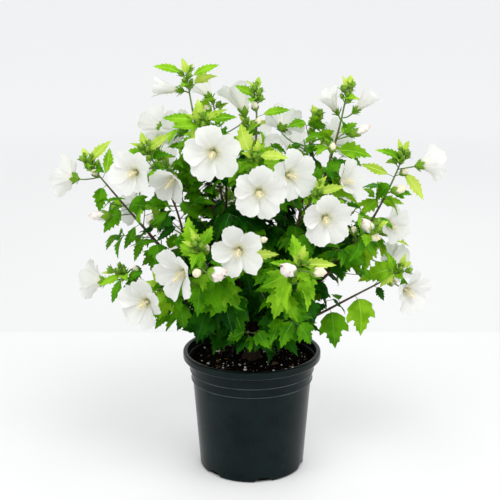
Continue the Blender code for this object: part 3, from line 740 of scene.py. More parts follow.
def makeBark():
    bm = bmesh.new()
    addTrunk(bm)
    for name in shootTable:
        shoot = shoots[name]
        shares = [shoot.boughEnd * 1.06 * step / 10 for step in range(11)]
        swells = [max(0, 1 - share * shoot.length / bark["collarReach"]) for share in shares]
        radii = [shoot.radius(share) * (1 + bark["collar"] * swell) for share, swell in zip(shares, swells)]
        alongs = [shoot.along(share) for share in shares]
        addTube(bm, [shoot.point(share) for share in shares], alongs, radii, 12)
    bmesh.ops.recalc_face_normals(bm, faces=bm.faces)
    rough = addObject("roughBark", meshFrom(bm, "roughBark"))
    fuse = rough.modifiers.new("fuse", "REMESH")
    fuse.mode = "VOXEL"
    fuse.voxel_size = bark["voxel"]
    mesh = bpy.data.meshes.new_from_object(rough.evaluated_get(bpy.context.evaluated_depsgraph_get()))
    bpy.data.objects.remove(rough, do_unlink=True)
    bm = bmesh.new()
    bm.from_mesh(mesh)
    bmesh.ops.smooth_vert(bm, verts=bm.verts, factor=0.5, use_axis_x=True, use_axis_y=True, use_axis_z=True)
    bm.normal_update()
    for vert in bm.verts:
        spot = Vector(a * b for a, b in zip(vert.co, bark["grain"]))
        high = (vert.co.z - bark["fineFrom"]) / bark["fineOver"]
        deep = mixed(bark["trunkRelief"], bark["boughRelief"], high)
        vert.co += vert.normal * (deep * (noise.noise(spot) - 0.5 * abs(noise.noise(spot * 2.3))))
    brown = newMaterial("bark", (0.036, 0.022, 0.014), 0.85, 0.07,
                        ((0.011, 0.007, 0.004), (0.050, 0.032, 0.021), 120, (0.3, 0.7), (1, 1, 0.25)),
                        (520, 0.7, 0.0008, (1, 1, 0.2)))
    limbs = ["trunk"] + ["bough_" + name for name in shootTable]
    return addPiece("barkedLimbs", bm, [brown], limbs)


barkedLimbs = makeBark()
print("bark ready")


# Flowers

# the shoot that carries each, its mouth's azimuth, reach and height, where it faces as azimuth and
# lift, the width of its mouth and its depth
flowerTable = (
    ("top_left_front", 247, 165, 607, 268, 1, 100, 32),
    ("centre_front", 274, 180, 549, 275, 5, 92, 28),
    ("centre_front", 299, 149, 570, 305, 10, 90, 28),
    ("mid_right", 306, 210, 502, 280, 0, 90, 28),
    ("front_mid", 264, 222, 463, 265, 5, 91, 30),
    ("front_left", 237, 238, 417, 226, -5, 96, 34),
    ("low_left_front", 217, 237, 350, 240, 0, 90, 30),
    ("low_left", 184, 290, 358, 160, 0, 76, 34),
    ("left_upper", 206, 228, 567, 248, 8, 82, 32),
    ("left_upper", 215, 175, 543, 240, -25, 72, 36),
    ("far_left", 180, 330, 542, 152, 5, 80, 32),
    ("top_left", 170, 176, 694, 178, 8, 38, 54),
    ("back_left", 149, 206, 612, 130, 0, 80, 30),
    ("back_left_top", 148, 165, 612, 130, 10, 78, 30),
    ("back_left_top", 104, 105, 684, 125, 66, 84, 56),
    ("back_right_top", 59, 120, 624, 70, 30, 78, 30),
    ("top_right", 13, 133, 684, 200, 60, 46, 46),
    ("top_right", 0, 210, 688, 0, 45, 46, 50),
    ("top_right", 0, 205, 630, 0, 25, 18, 38),
    ("mid_right", 341, 182, 550, 322, 25, 74, 32),
    ("right", 0, 322, 566, 24, 5, 70, 42),
    ("right", 357, 270, 524, 0, 15, 18, 28),
    ("right_back", 6, 262, 446, 312, 5, 76, 32),
    ("right_back", 17, 282, 362, 48, 0, 80, 32),
    ("low_right", 352, 290, 338, 306, -5, 86, 32),
    ("far_left", 183, 286, 474, 180, 0, 20, 38),
    ("front_right", 280, 266, 450, 225, 25, 24, 33),
    ("front_right", 296, 268, 437, 340, 5, 19, 28),
    ("front_left", 260, 238, 430, 350, -5, 27, 30),
    ("front_left", 250, 262, 435, 250, 0, 16, 17),
    ("right_front", 334, 205, 482, 190, 40, 23, 33),
    ("right_front", 338, 236, 452, 350, -10, 18, 26),
    ("top_right", 348, 143, 606, 0, 75, 13, 18),
    ("top_centre", 0, 14, 644, 20, 60, 13, 17),
    ("front_mid", 277, 202, 480, 350, 10, 12, 16),
    ("back", 86, 218, 560, 80, 10, 92, 30),
    ("back", 104, 190, 470, 100, 0, 88, 30),
    ("back_left", 136, 245, 535, 125, 0, 86, 30),
    ("back_right", 52, 280, 480, 60, 5, 90, 32),
    ("back_right", 66, 215, 560, 55, 15, 82, 30),
    ("back_low_left", 117, 275, 362, 110, -5, 86, 32),
    ("back_low_right", 76, 265, 350, 80, 0, 86, 32),
    ("back_right_top", 38, 200, 590, 40, 15, 80, 32),
    ("back_left_top", 126, 165, 690, 130, 40, 56, 46),
    ("back_left", 158, 240, 470, 155, 0, 82, 32),
    ("back_low_left", 140, 262, 425, 140, 5, 30, 36),
)
# how the first, most open flowers are turned, and how far their petals' corners are rounded off
frontPetals = ((98, 0.34), (80, 0.30), (96, 0.34), (90, 0.27), (107, 0.50), (112, 0.46), (84, 0.34))
flower = {"budAcross": 0.034, "petals": 5, "columns": 30, "rows": 12, "halfAngle": 44, "clawAngle": 25,
          "clawAt": 0.167, "clawSpan": 0.083, "shoulders": (0.28, 0.50), "crinkle": 0.066, "frill": 0.066,
          "ruffle": 0.034, "ripple": 0.014, "lap": 0.026, "cup": 0.040, "pleat": 0.0105,
          "tints": (0.13, 0.25, 0.40), "stalkRadius": 0.0011, "stalkStraight": 0.014}
heart = {"columnRadius": 0.0021, "anthers": 44, "antherRadius": 0.00085, "filament": 0.0030, "droop": 0.0055,
         "openAcross": 0.060, "openLength": 0.93, "cupLength": 0.55, "lowest": 0.42, "span": 0.50,
         "threadRadius": 0.00022, "lobes": 5, "lobeReach": 0.0022, "lobeRadius": 0.0008}
calyx = {"radius": 0.0070, "reach": 0.165, "clear": 0.0009, "bracts": 7, "bract": 0.0140}
closed = {"spentAcross": 0.0225, "fadedDepth": 0.034, "calyxReach": 0.30}
# from the margin to the claw: a petal's colour, and that of the light that comes through
petalColours = (
    ("petalWhite", (0.860, 0.855, 0.835), (0.94, 0.94, 0.91)),
    ("petalWarm", (0.90, 0.89, 0.82), (0.96, 0.95, 0.87)),
    ("petalPale", (0.93, 0.91, 0.72), (0.97, 0.94, 0.76)),
    ("petalCream", (0.95, 0.91, 0.56), (0.98, 0.94, 0.60)),
)


class Bloom:
    def __init__(self, row, index):
        name, azimuth, reach, height, faces, lift, across, deep = row
        self.shoot = shoots[name]
        self.across, self.deep, self.index = across * mm, deep * mm, index
        self.faces = heading(faces, lift)
        self.base = place(azimuth, reach, height) - self.faces * self.deep
        side = up.cross(self.faces).normalized()
        self.frame = standing(self.base, side, self.faces.cross(side), self.faces)
        self.isBud = self.across < flower["budAcross"]
        self.rng = random.Random(100 + index)
        self.shoulder = self.rng.uniform(*flower["shoulders"])


blooms = [Bloom(row, index) for index, row in enumerate(flowerTable)]
openBlooms = [bloom for bloom in blooms if not bloom.isBud]
closedBlooms = [bloom for bloom in blooms if bloom.isBud]


def funnel(bloom, reach):
    # the radius and depth of a flower's trumpet, from its foot at 0 to its mouth at 1
    openness = bloom.across / (bloom.across + bloom.deep)
    radius = bloom.across / 2 * (0.05 + 0.95 * reach ** 1.15)
    return radius, bloom.deep * (1 - max(0, 1 - reach) ** (0.6 + 1.3 * openness))


def petalPoint(bloom, centre, phase, size, across, along):
    # across runs from -1 to 1, along from 0 at the claw to 1 at the margin
    margin = flower["crinkle"] * noise.noise(Vector((across * 2.6, phase * 7, bloom.index)))
    margin += flower["frill"] * noise.noise(Vector((across * 8, phase * 5, bloom.index + 0.5)))
    reach = along * (1 - bloom.shoulder * abs(across) ** 2.6) * size * (1 + margin * along ** 4)
    opening = abs(along - flower["clawAt"]) / flower["clawSpan"]
    half = mixed(flower["clawAngle"], flower["halfAngle"], opening)
    turn = math.radians(centre + across * half)
    radius, depth = funnel(bloom, reach)
    lift = flower["lap"] * across * along + flower["cup"] * (across * across - 0.4) * along ** 2
    lift += flower["ruffle"] * along ** 3 * math.sin(3.4 * across + phase)
    lift += flower["pleat"] * along * (1.2 - along) * math.sin(13 * across + phase * 2)
    lift += flower["ripple"] * along ** 3 * math.sin(8 * across + phase * 5)
    return polar(turn, radius, depth + lift * bloom.across)


def addPetals(bm, bloom):
    start = bloom.rng.uniform(50, 130)
    if bloom.index < len(frontPetals):
        start, bloom.shoulder = frontPetals[bloom.index]
    for index in range(flower["petals"]):
        centre = start + index * 360 / flower["petals"] + bloom.rng.uniform(-3, 3)
        phase = bloom.rng.uniform(0, math.tau)
        size = bloom.rng.uniform(0.94, 1.0)
        verts = bmesh.ops.create_grid(bm, x_segments=flower["columns"], y_segments=flower["rows"], size=1,
                                      calc_uvs=True)["verts"]
        for face in facesOf(verts):
            along = (face.calc_center_median().y + 1) / 2
            face.material_index = sum(along < tint for tint in flower["tints"])
        for vert in verts:
            spot = petalPoint(bloom, centre, phase, size, vert.co.x, (vert.co.y + 1) / 2)
            vert.co = bloom.frame @ spot


def makePetals():
    bm = bmesh.new()
    bm.loops.layers.uv.new("petal")
    for bloom in openBlooms:
        addPetals(bm, bloom)
    addPiece("petals", bm, [petalMaterial(*row) for row in petalColours])


rod = rodTemplate(5, 4)
thread = rodTemplate(3, 1)
bead = lumpTemplate(1, 0.0)


def makeHearts():
    # the pale column in each flower's throat, with its anthers and five-lobed tip
    columns, anthers = Joined(), Joined()
    smallRod = rodTemplate(8, 5)
    for bloom in openBlooms:
        rng = bloom.rng
        length = bloom.deep * heart["openLength" if bloom.across > heart["openAcross"] else "cupLength"]
        tip = Vector((rng.uniform(-0.003, 0.003), -heart["droop"] * rng.uniform(0.5, 1.3), length))
        path = [Vector((0, 0, 0)), Vector((0, 0, length * 0.5)), tip]
        radius = heart["columnRadius"]
        columns.bend(smallRod, [bloom.frame @ spot for spot in path], (radius * 1.25, radius * 0.7))
        for index in range(heart["anthers"]):
            root = onCurve(*path, heart["lowest"] + heart["span"] * (index + 0.5) / heart["anthers"])
            turn = math.radians(index * goldenTurn)
            away = polar(turn, 1, 0.45 + rng.uniform(-0.2, 0.2)).normalized()
            reach = heart["filament"] * rng.uniform(0.8, 1.25)
            end = root + away * (reach + radius)
            spots = [bloom.frame @ spot for spot in (root, (root + end) / 2, end)]
            columns.bend(thread, spots, (heart["threadRadius"], heart["threadRadius"]))
            size = heart["antherRadius"] * rng.uniform(0.8, 1.2)
            anthers.copy(bead, bloom.frame @ Matrix.Translation(end) @ Matrix.Scale(size, 4))
        for index in range(heart["lobes"]):
            end = tip + polar(math.tau * index / heart["lobes"], heart["lobeReach"], 0.0020)
            spots = [bloom.frame @ spot for spot in (tip, (tip + end) / 2, end)]
            columns.bend(thread, spots, (0.0004, 0.0003))
            columns.copy(bead, bloom.frame @ Matrix.Translation(end) @ Matrix.Scale(heart["lobeRadius"], 4))
    pale = newMaterial("paleColumn", (0.90, 0.85, 0.60), 0.6, 0.5,
                       ((0.88, 0.81, 0.52), (0.93, 0.89, 0.70), 260), (900, 0.3, 0.0004))
    yellow = newMaterial("anthers", (0.86, 0.76, 0.42), 0.75, 0.5,
                         ((0.78, 0.64, 0.30), (0.92, 0.86, 0.60), 400))
    addPiece("staminalColumns", columns, [pale])
    addPiece("anthers", anthers, [yellow])


def calyxTemplate():
    # a cup with five pointed sepals, its foot at the origin, its mouth along Z
    bm = bmesh.new()
    bmesh.ops.create_cone(bm, cap_ends=False, segments=20, radius1=0.35, radius2=1, depth=1,
                          matrix=Matrix.Translation((0, 0, 0.5)))
    cutAt(bm, 0.5)
    for vert in bm.verts:
        turn = math.atan2(vert.co.y, vert.co.x)
        point = abs((turn / math.tau * 5) % 1 - 0.5) * 2
        widen(vert, 1 + 0.16 * math.sin(math.pi * min(vert.co.z, 1)))
        if vert.co.z > 0.9:
            vert.co.z += 0.72 * point - 0.12
            widen(vert, 1 - 0.12 * point)
    bmesh.ops.contextual_create(bm, geom=[vert for vert in bm.verts if vert.co.z < 0.01])
    return templateFrom(bm)


def bractTemplate():
    # a narrow pointed blade along Z from 0 to 1, bowed outwards
    bm = bmesh.new()
    bmesh.ops.create_grid(bm, x_segments=2, y_segments=4, size=0.5)
    for vert in bm.verts:
        along = vert.co.y + 0.5
        wide = 0.20 * math.sin(math.pi * min(along * 0.93 + 0.07, 1)) ** 0.7
        vert.co = Vector((vert.co.x * 2 * wide, -0.10 * abs(vert.co.x) + 0.22 * along * along, along))
    return templateFrom(bm)


calyxCup = calyxTemplate()
bract = bractTemplate()


def clasp(joined, frameAt, shape):
    # the calyx laid on the outside of what it holds: shape gives a radius and depth for each height
    spots = []
    for x, y, z in calyxCup["spots"]:
        radius, depth = shape(z)
        turn = math.atan2(y, x)
        radius += calyx["clear"] * (1 + z)
        spots.append(frameAt @ polar(turn, radius, depth - calyx["clear"]))
    joined.take(np.array([tuple(spot) for spot in spots]), calyxCup)


def addBracts(joined, frameAt, radius, bracts, spread, rng, longer=1.0):
    for index in range(bracts):
        turn = Matrix.Rotation(math.tau * (index + rng.uniform(-0.2, 0.2)) / bracts, 4, "Z")
        lean = Matrix.Rotation(-math.radians(spread + rng.uniform(-10, 10)), 4, "X")
        size = calyx["bract"] * longer * rng.uniform(0.75, 1.1) * radius / calyx["radius"]
        root = Matrix.Translation((0, radius * 0.35, 0))
        joined.copy(bract, frameAt @ turn @ root @ lean @ Matrix.Scale(size, 4))


rolledProfile = ((0, 0.10), (0.08, 0.20), (0.22, 0.29), (0.40, 0.36), (0.58, 0.40),
                 (0.74, 0.38), (0.88, 0.29), (1, 0.15))


def rolledRadius(share):
    heights, radii = zip(*rolledProfile)
    return float(np.interp(share, heights, radii))


def rolledTemplate(seed, twist, crumple, jag, gape):
    # five petals rolled over each other, 1 long and about 1 across, gathered or gaping at the tip
    rng = random.Random(seed)
    bm = bmesh.new()
    for index in range(flower["petals"]):
        phase = rng.uniform(0, math.tau)
        longer = rng.uniform(1 - jag, 1.02)
        sag = rng.uniform(-1, 1) * crumple
        verts = bmesh.ops.create_grid(bm, x_segments=10, y_segments=10, size=1)["verts"]
        for face in facesOf(verts):
            face.material_index = 1 if face.calc_center_median().y > 0.55 else 0
        for vert in verts:
            across, along = vert.co.x, (vert.co.y + 1) / 2
            turn = math.tau * index / flower["petals"] + across * 1.45 + twist * along
            radius = rolledRadius(along) * (1 + 0.15 * across) + (gape + sag) * along ** 4
            radius += crumple * along * math.sin(5 * across + phase)
            height = along * longer * (1 - (0.10 + jag * 0.6) * abs(across) ** 2.2)
            height += jag * 0.35 * along ** 3 * math.sin(7 * across + phase * 2)
            vert.co = polar(turn, radius, height)
    core = bmesh.ops.create_uvsphere(bm, u_segments=12, v_segments=8, radius=0.42)["verts"]
    for vert in core:
        share = vert.co.z / 0.84 + 0.5
        shape = rolledRadius(share) * 0.84 / 0.42 / max(0.3, math.sin(math.pi * min(max(share, 0.1), 0.9)))
        vert.co = Vector((vert.co.x * shape, vert.co.y * shape, 0.04 + 0.86 * share))
    return templateFrom(bm)


rolledForms = [rolledTemplate(1, 1.3, 0.02, 0.06, -0.11), rolledTemplate(2, 1.2, 0.055, 0.26, 0.06),
               rolledTemplate(5, 0.9, 0.050, 0.22, 0.02), rolledTemplate(3, 1.5, 0.02, 0.06, -0.13)]


def claspRolled(joined, frameAt, across, deep, reach):
    clasp(joined, frameAt, lambda share: (across * rolledRadius(share * reach) * 1.2, deep * share * reach))


def makeClosedBlooms(calyces):
    rolls = Joined()
    for bloom in closedBlooms:
        isSpent = bloom.across > closed["spentAcross"]
        form = rolledForms[1 + bloom.index % 2] if isSpent else rolledForms[bloom.index % 2 * 3]
        slots = (0, 2) if isSpent or bloom.deep > closed["fadedDepth"] else (1, 1)
        size = Matrix.Diagonal((bloom.across, bloom.across, bloom.deep, 1))
        rolls.copy(form, bloom.frame @ size, slots)
        claspRolled(calyces, bloom.frame, bloom.across, bloom.deep, closed["calyxReach"])
        addBracts(calyces, bloom.frame, max(0.0050, bloom.across * 0.26), calyx["bracts"], 20, bloom.rng)
    return rolls


def makeCalyces(calyces):
    for bloom in openBlooms:
        clasp(calyces, bloom.frame, lambda share: funnel(bloom, share * calyx["reach"]))
        below = bloom.frame @ Matrix.Translation((0, 0, -0.002))
        addBracts(calyces, below, calyx["radius"], calyx["bracts"], 34, bloom.rng)


# Leaves

leafForms = {
    # along and half width of the blade's edge, as shares of its length, from foot to tip
    "lobed": (
        (0.00, 0.03), (0.02, 0.16), (0.11, 0.28), (0.19, 0.37), (0.29, 0.35), (0.41, 0.43), (0.59, 0.42),
        (0.52, 0.27), (0.57, 0.20), (0.68, 0.24), (0.70, 0.165), (0.83, 0.15), (0.85, 0.080), (1.00, 0.0)),
    "toothed": (
        (0.00, 0.03), (0.05, 0.13), (0.15, 0.20), (0.26, 0.30), (0.30, 0.245), (0.45, 0.35), (0.49, 0.29),
        (0.50, 0.20), (0.64, 0.25), (0.65, 0.155), (0.80, 0.165), (0.81, 0.095), (0.92, 0.055), (1.00, 0.0)),
    "narrow": (
        (0.00, 0.02), (0.08, 0.07), (0.20, 0.13), (0.31, 0.19), (0.34, 0.145), (0.47, 0.21), (0.50, 0.15),
        (0.61, 0.19), (0.64, 0.125), (0.74, 0.135), (0.77, 0.08), (0.88, 0.07), (0.92, 0.035), (1.00, 0.0)),
}
leafShape = {"rib": 0.012, "veinLag": 0.30, "lobeLag": 0.62, "quilt": 0.012, "wave": 0.11,
             "columns": (-1, -0.52, 0, 0, 0.52, 1)}     # across the blade, the middle two beside its rib


def leafTemplate(form, seed):
    # a blade in the XY plane along +Y, its face to +Z, folded on its rib and arching to its tip
    rng = random.Random(seed)
    outline = leafForms[form]
    fold, droop = rng.uniform(0.20, 0.65), rng.uniform(0.4, 1.2)
    curl, skew, phase = rng.uniform(0.12, 0.46), rng.uniform(-0.12, 0.12), rng.uniform(0, math.tau)
    rows = len(outline) - 1
    bm = bmesh.new()
    bmesh.ops.create_grid(bm, x_segments=5, y_segments=rows, size=0.5)
    for face in bm.faces:
        face.material_index = 1 if abs(face.calc_center_median().x) < 0.05 else 0
    for vert in bm.verts:
        row = round((vert.co.y + 0.5) * rows)
        column = round((vert.co.x + 0.5) * 5)
        along, half = outline[row]
        rib = min(leafShape["rib"] * (1 - 0.6 * along), half)
        lag = leafShape["lobeLag" if outline[min(row + 1, rows)][0] < along else "veinLag"]
        share = leafShape["columns"][column]
        x = half * share if column not in (2, 3) else rib * (1 if column == 3 else -1)
        y = along - lag * (half - abs(x)) * (1 if 0 < row < rows else 0)
        quilt = leafShape["quilt"] * (-1) ** row if column in (1, 4) and 0 < row < rows else 0
        z = fold * abs(x) - droop * x * x - curl * y * y + quilt
        z += leafShape["wave"] * abs(x) * math.sin(y * 9 + phase + (2 if x > 0 else 0))
        vert.co = Vector((x + skew * y * y, y, z))
    return templateFrom(bm)


leafTemplates = {form: [leafTemplate(form, seed) for seed in range(first, first + 4)]
                 for form, first in (("lobed", 10), ("toothed", 20), ("narrow", 30))}
foliage = {
    "twigEvery": 0.032, "twigLength": 0.074, "twigTaper": 0.62, "twigsTo": 0.84, "twigAngle": 52,
    "twigRise": 0.12, "twigRadius": 0.0011, "leafEvery": 0.0122, "stemLeafEvery": 0.018,
    "leafLength": 0.046, "youngLength": 0.036, "narrowFrom": 0.86, "toothedFrom": 0.62,
    "toothedChance": 0.30, "petiole": 0.014, "lowDroop": 0.95, "highDroop": 0.10, "crownTop": 0.74,
    "clearance": 0.0128, "outside": 0.006, "lowScale": 1.02, "highScale": 0.92, "lowSpread": 1.35,
    "shorter": 0.86, "tipEvery": 0.0045, "tipPetiole": 0.007, "greenTwigs": 0.70, "stemPieces": 9,
    "stemTurns": (0.72, 0.90),      # how far along a shoot its stem turns olive, then green
    "bloomMargin": 0.004, "ahead": 0.045, "shownAhead": 0.002,      # how far leaves stay off the flowers
    "hem": 0.213, "hemRise": 0.76, "hemStart": 0.058, "hemReach": 0.135,     # how low the leaves hang
}
leafTints = ("Deep", "Mid", "Bright", "Young")
# what brightens a leaf: its youth, its place near the outside and its height, which paint light on the outer
# and upper leaves, less the painted shade of the low middle, then chance; and the scores at which the next
# tint starts
tintRule = {"youth": 0.45, "outside": 0.38, "height": 0.36, "shade": 0.28, "chance": 0.21,
            "steps": (0.47, 0.80, 1.16)}
# where the photo shows sky between the leaves: sideways and height on the plane Y = 0, and radius
skyGaps = ((178, 352, 11), (183, 331, 14), (175, 314, 9), (144, 342, 7), (163, 276, 9), (205, 350, 5),
           (229, 303, 13), (221, 280, 14), (243, 318, 9), (-134, 489, 11), (-107, 488, 5), (-215, 477, 7),
           (-180, 462, 7), (-152, 438, 8), (-120, 457, 7), (-144, 420, 5), (-221, 449, 5), (-205, 404, 11),
           (-241, 385, 11), (-191, 372, 7), (-46, 506, 9), (-86, 464, 5), (-55, 695, 14), (-28, 623, 7),
           (52, 626, 9), (83, 469, 5), (31, 683, 14))
# the same on the front side, to leave the trunk in sight
trunkGaps = ((-3, 283, 6), (-3, 256, 6))
crownMiddle = Vector((0, 0, 0.46))
crownSize = Vector((0.33, 0.27, 0.29))


class Foliage:
    def __init__(self, limbTree):
        self.limbTree = limbTree
        self.blades = {tint: Joined() for tint in leafTints}
        self.stems = Joined()
        self.centres = np.zeros((0, 3))
        self.rng = random.Random(21)
        self.bases = np.array([tuple(bloom.base) for bloom in blooms])
        self.axes = np.array([tuple(bloom.faces) for bloom in blooms])
        self.widths = np.array([bloom.across / 2 for bloom in blooms])
        self.depths = np.array([bloom.deep for bloom in blooms])
        self.count = 0

    def inBloom(self, spots, ahead):
        # true where a spot lies in a flower, or just ahead of its face
        away = spots[:, None, :] - self.bases[None]
        depth = np.einsum("ijk,jk->ij", away, self.axes)
        aside = np.linalg.norm(away - depth[..., None] * self.axes[None], axis=2)
        share = np.clip(depth / self.depths, 0, 1)
        margin = foliage["bloomMargin"]
        within = (depth > -margin) & (depth < self.depths + margin)
        within &= aside < self.widths * share ** 0.6 + margin
        front = (depth >= self.depths) & (depth < self.depths + ahead) & (aside < self.widths * 0.78)
        return bool((within | front).any())

    def isFree(self, spots, mayHang=False):
        low, high = cadBox
        margin = foliage["outside"]
        for spot in spots:
            reach = min(spot.xy.length, foliage["hemReach"])
            hem = foliage["hem"] + foliage["hemRise"] * max(0, reach - foliage["hemStart"])
            if spot.z < hem and not (mayHang and spot.xy.length > pot["rimRadius"]):
                return False
            if any(spot[axis] < low[axis] - margin or spot[axis] > high[axis] + margin for axis in range(3)):
                return False
        # leaves of the photo may lie before a flower, as there
        ahead = foliage["shownAhead" if mayHang else "ahead"]
        return not self.inBloom(np.array([tuple(spot) for spot in spots]), ahead)

    def fillsGap(self, root, tip, wide):
        # true where a leaf would stand before one of the gaps, seen from the studio's eye
        eye = Vector(studio["eye"])
        first, last = (eye + (spot - eye) * (-eye.y / (spot.y - eye.y)) for spot in (root, tip))
        for x, z, radius in skyGaps + (trunkGaps if root.y < 0 else ()):
            gap = Vector((x * mm, 0, z * mm))
            line = last - first
            share = min(max((gap - first).dot(line) / line.length_squared, 0), 1)
            if (first + line * share - gap).length < radius * mm + wide:
                return True
        return False

    def crossesLimb(self, corners):
        tree = BVHTree.FromPolygons([tuple(corner) for corner in corners], [(0, 1, 3), (1, 2, 3)])
        return bool(tree.overlap(self.limbTree))

    def addLeaf(self, node, away, pointing, faces, length, form, tint, petiole, isShown=False):
        side = pointing.cross(faces).normalized()
        root = node + away * petiole
        low, waist, high = (root + pointing * (length * share) for share in (0.08, 0.45, 0.95))
        half = side * (length * 0.34)
        corners = [low, waist + half, high, waist - half]
        centre = root + pointing * (length * 0.5)
        if len(self.centres):
            near = np.linalg.norm(self.centres - np.array(centre), axis=1).min()
            clearance = foliage["clearance"] * mixed(foliage["lowSpread"], 1, (node.z - 0.30) / 0.08)
            if near < clearance * length / foliage["leafLength"]:
                return False
        if not self.isFree(corners + [centre], isShown) or self.crossesLimb(corners):
            return False
        if not isShown and self.fillsGap(corners[0], corners[2], length * 0.18):
            return False
        self.centres = np.vstack([self.centres, np.array(centre)])
        matrix = standing(root, side, pointing, faces) @ Matrix.Scale(length, 4)
        template = self.rng.choice(leafTemplates[form])
        self.blades[tint].copy(template, matrix)
        bend = node + away * (petiole * 0.6) + up * (petiole * 0.15)
        self.stems.bend(thread, (node, bend, root + pointing * (length * 0.03)), (0.0007, 0.0006), 2)
        self.count += 1
        return True


def leafPose(alongTwig, side, outward, droop, rng):
    outward = turned(outward, rng.uniform(-75, 75), up)
    pointing = alongTwig * 0.45 + side * 0.75 - up * droop
    pointing += jitter(rng, 0.5, 0.5, 0.3)
    pointing.normalize()
    faces = outward * 0.8 + up * 0.8
    faces += jitter(rng, 0.55, 0.55, 0.35)
    return pointing, squareTo(pointing, faces)


def droopAt(height):
    share = (height - soil["level"]) / (foliage["crownTop"] - soil["level"])
    return mixed(foliage["lowDroop"], foliage["highDroop"], share)


def tintAt(spot, youth, rng):
    # older leaves are darker, and, as painted shade, so are the deeper and lower ones, most of all the low
    # ones in the middle
    off = spot - crownMiddle
    exposure = Vector(a / b for a, b in zip(off, crownSize)).length
    outer = mixed(0, 0.5, (spot.xy.length - 0.10) / 0.08)
    score = tintRule["youth"] * youth + tintRule["outside"] * mixed(0, 1, (exposure - 0.30) / 0.65)
    score += tintRule["height"] * mixed(outer, 1, (off.z + 0.2) / 0.3)
    lowMiddle = mixed(1, 0, (spot.xy.length - 0.07) / 0.09)
    score -= tintRule["shade"] * lowMiddle * mixed(1, 0, (spot.z - 0.31) / 0.08)
    score += rng.uniform(-tintRule["chance"], tintRule["chance"])
    return leafTints[sum(score >= step for step in tintRule["steps"])]


def outwardAt(spot):
    away = Vector((spot.x, spot.y, 0))
    return away.normalized() if away.length > 0.01 else Vector((0, -1, 0))


def growLeaf(crown, node, alongTwig, side, youth, tint, terminal=False):
    rng = crown.rng
    length = mixed(foliage["leafLength"], foliage["youngLength"], youth ** 1.3) * rng.uniform(0.70, 1.25)
    length *= mixed(foliage["lowScale"], foliage["highScale"], (node.z - 0.30) / 0.22)
    form = "lobed"
    if youth > foliage["narrowFrom"]:
        form = "narrow"
    elif youth > foliage["toothedFrom"] or rng.random() < foliage["toothedChance"]:
        form = "toothed"
    away = (alongTwig if terminal else side + alongTwig * 0.4 + up * 0.2).normalized()
    petiole = foliage["petiole"] * length / foliage["leafLength"] * rng.uniform(0.6, 1.3)
    petiole *= 0.3 if terminal else 1
    for attempt in range(3):
        droop = droopAt(node.z) * rng.uniform(0.6, 1.35)
        lean = Vector() if terminal else side
        pointing, faces = leafPose(alongTwig, lean, outwardAt(node), droop, rng)
        if crown.addLeaf(node, away, pointing, faces, length, form, tint, petiole):
            return True
        length *= foliage["shorter"]
    return False


def growTwig(crown, shoot, share, turn, length):
    rng = crown.rng
    along = shoot.along(share)
    side = sideOf(along, turn)
    lean = math.radians(foliage["twigAngle"] + rng.uniform(-10, 10))
    direction = (along * math.cos(lean) + side * math.sin(lean) + up * foliage["twigRise"]).normalized()
    foot = shoot.point(share)
    for shorter in (1.0, 0.7, 0.45):
        tip = foot + direction * (length * shorter) + up * (length * 0.08)
        middle = foot + direction * (length * shorter * 0.55)
        spots = [foot.lerp(middle, 0.6), middle, tip]
        if crown.isFree(spots):
            break
    else:
        return
    tint = tintAt(tip, share * 0.75, rng)
    count = max(2, round(length * shorter / foliage["leafEvery"]))
    turnAbout, reached = rng.choice((0, 180)), 0
    for index in range(count):
        spot = 0.18 + 0.80 * (index + 0.5) / count
        node = onCurve(foot, middle, tip, spot)
        turnTo = turnAbout + index * 180 + rng.uniform(-35, 35)
        aside = turned(direction.cross(up).normalized(), turnTo, direction)
        leafTint = tint if rng.random() < 0.6 else tintAt(node, share * 0.75, rng)
        if growLeaf(crown, node, direction, aside, mixed(share * 0.5, share, spot), leafTint):
            reached = spot
    if growLeaf(crown, tip, (tip - middle).normalized(), Vector(), share, tint, True):
        reached = 1
    if reached:
        # the twig ends at its last leaf
        path = (foot, foot.lerp(middle, reached), onCurve(foot, middle, tip, reached))
        thick = foliage["twigRadius"]
        crown.stems.bend(rod, path, (thick, thick * 0.55), 1 if share < foliage["greenTwigs"] else 2)


# stretches of the shoots that carry no grown twigs or leaves, because the photo shows them open
bareStretches = {"low_right": (0.44, 0.96), "top_left": (0.80, 0.95), "top_centre": (0.74, 0.95),
                 "top_right": (0.84, 0.95), "right": (0.82, 0.95), "far_left": (0.80, 0.95)}


def placesOn(shoot, low, high, count):
    # evenly spaced shares of a shoot, but for its bare stretch
    bare = bareStretches.get(shoot.name, (0, 0))
    for index in range(count):
        share = low + (high - low) * (index + 0.5) / count
        if not bare[0] < share < bare[1]:
            yield index, share


def growShoot(crown, shoot):
    rng = crown.rng
    low = shoot.boughEnd * 0.55 if shoot.boughEnd else 0.25
    count = max(3, round((1 - low) * shoot.length / foliage["twigEvery"]))
    start = rng.uniform(0, 360)
    for index, share in placesOn(shoot, low, foliage["twigsTo"], count):
        length = foliage["twigLength"] * (1 - foliage["twigTaper"] * index / count) * rng.uniform(0.8, 1.15)
        growTwig(crown, shoot, share, start + index * goldenTurn, length)
    count = round((1 - low) * shoot.length / foliage["stemLeafEvery"])
    for index, share in placesOn(shoot, low, 0.97, count):
        along = shoot.along(share)
        side = sideOf(along, start + 60 + index * goldenTurn)
        node = shoot.point(share)
        growLeaf(crown, node, along, side, share * 0.9, tintAt(node + side * 0.03, share * 0.8, rng))


tipTurn = {
    # form, azimuth of a leaf's lean, how much it rises with the shoot, its length as a share, tint
    "rising": (("toothed", 70, 1.9, 0.64, "Young"), ("narrow", 200, 1.4, 0.72, "Young")),
    "spread": (("narrow", 0, 0.30, 1.30, "Young"), ("narrow", 180, 0.25, 1.25, "Bright"),
               ("toothed", 265, 0.15, 0.95, "Bright"), ("narrow", 100, 0.20, 1.15, "Bright"),
               ("toothed", 320, 0.00, 1.0, "Mid")),
}
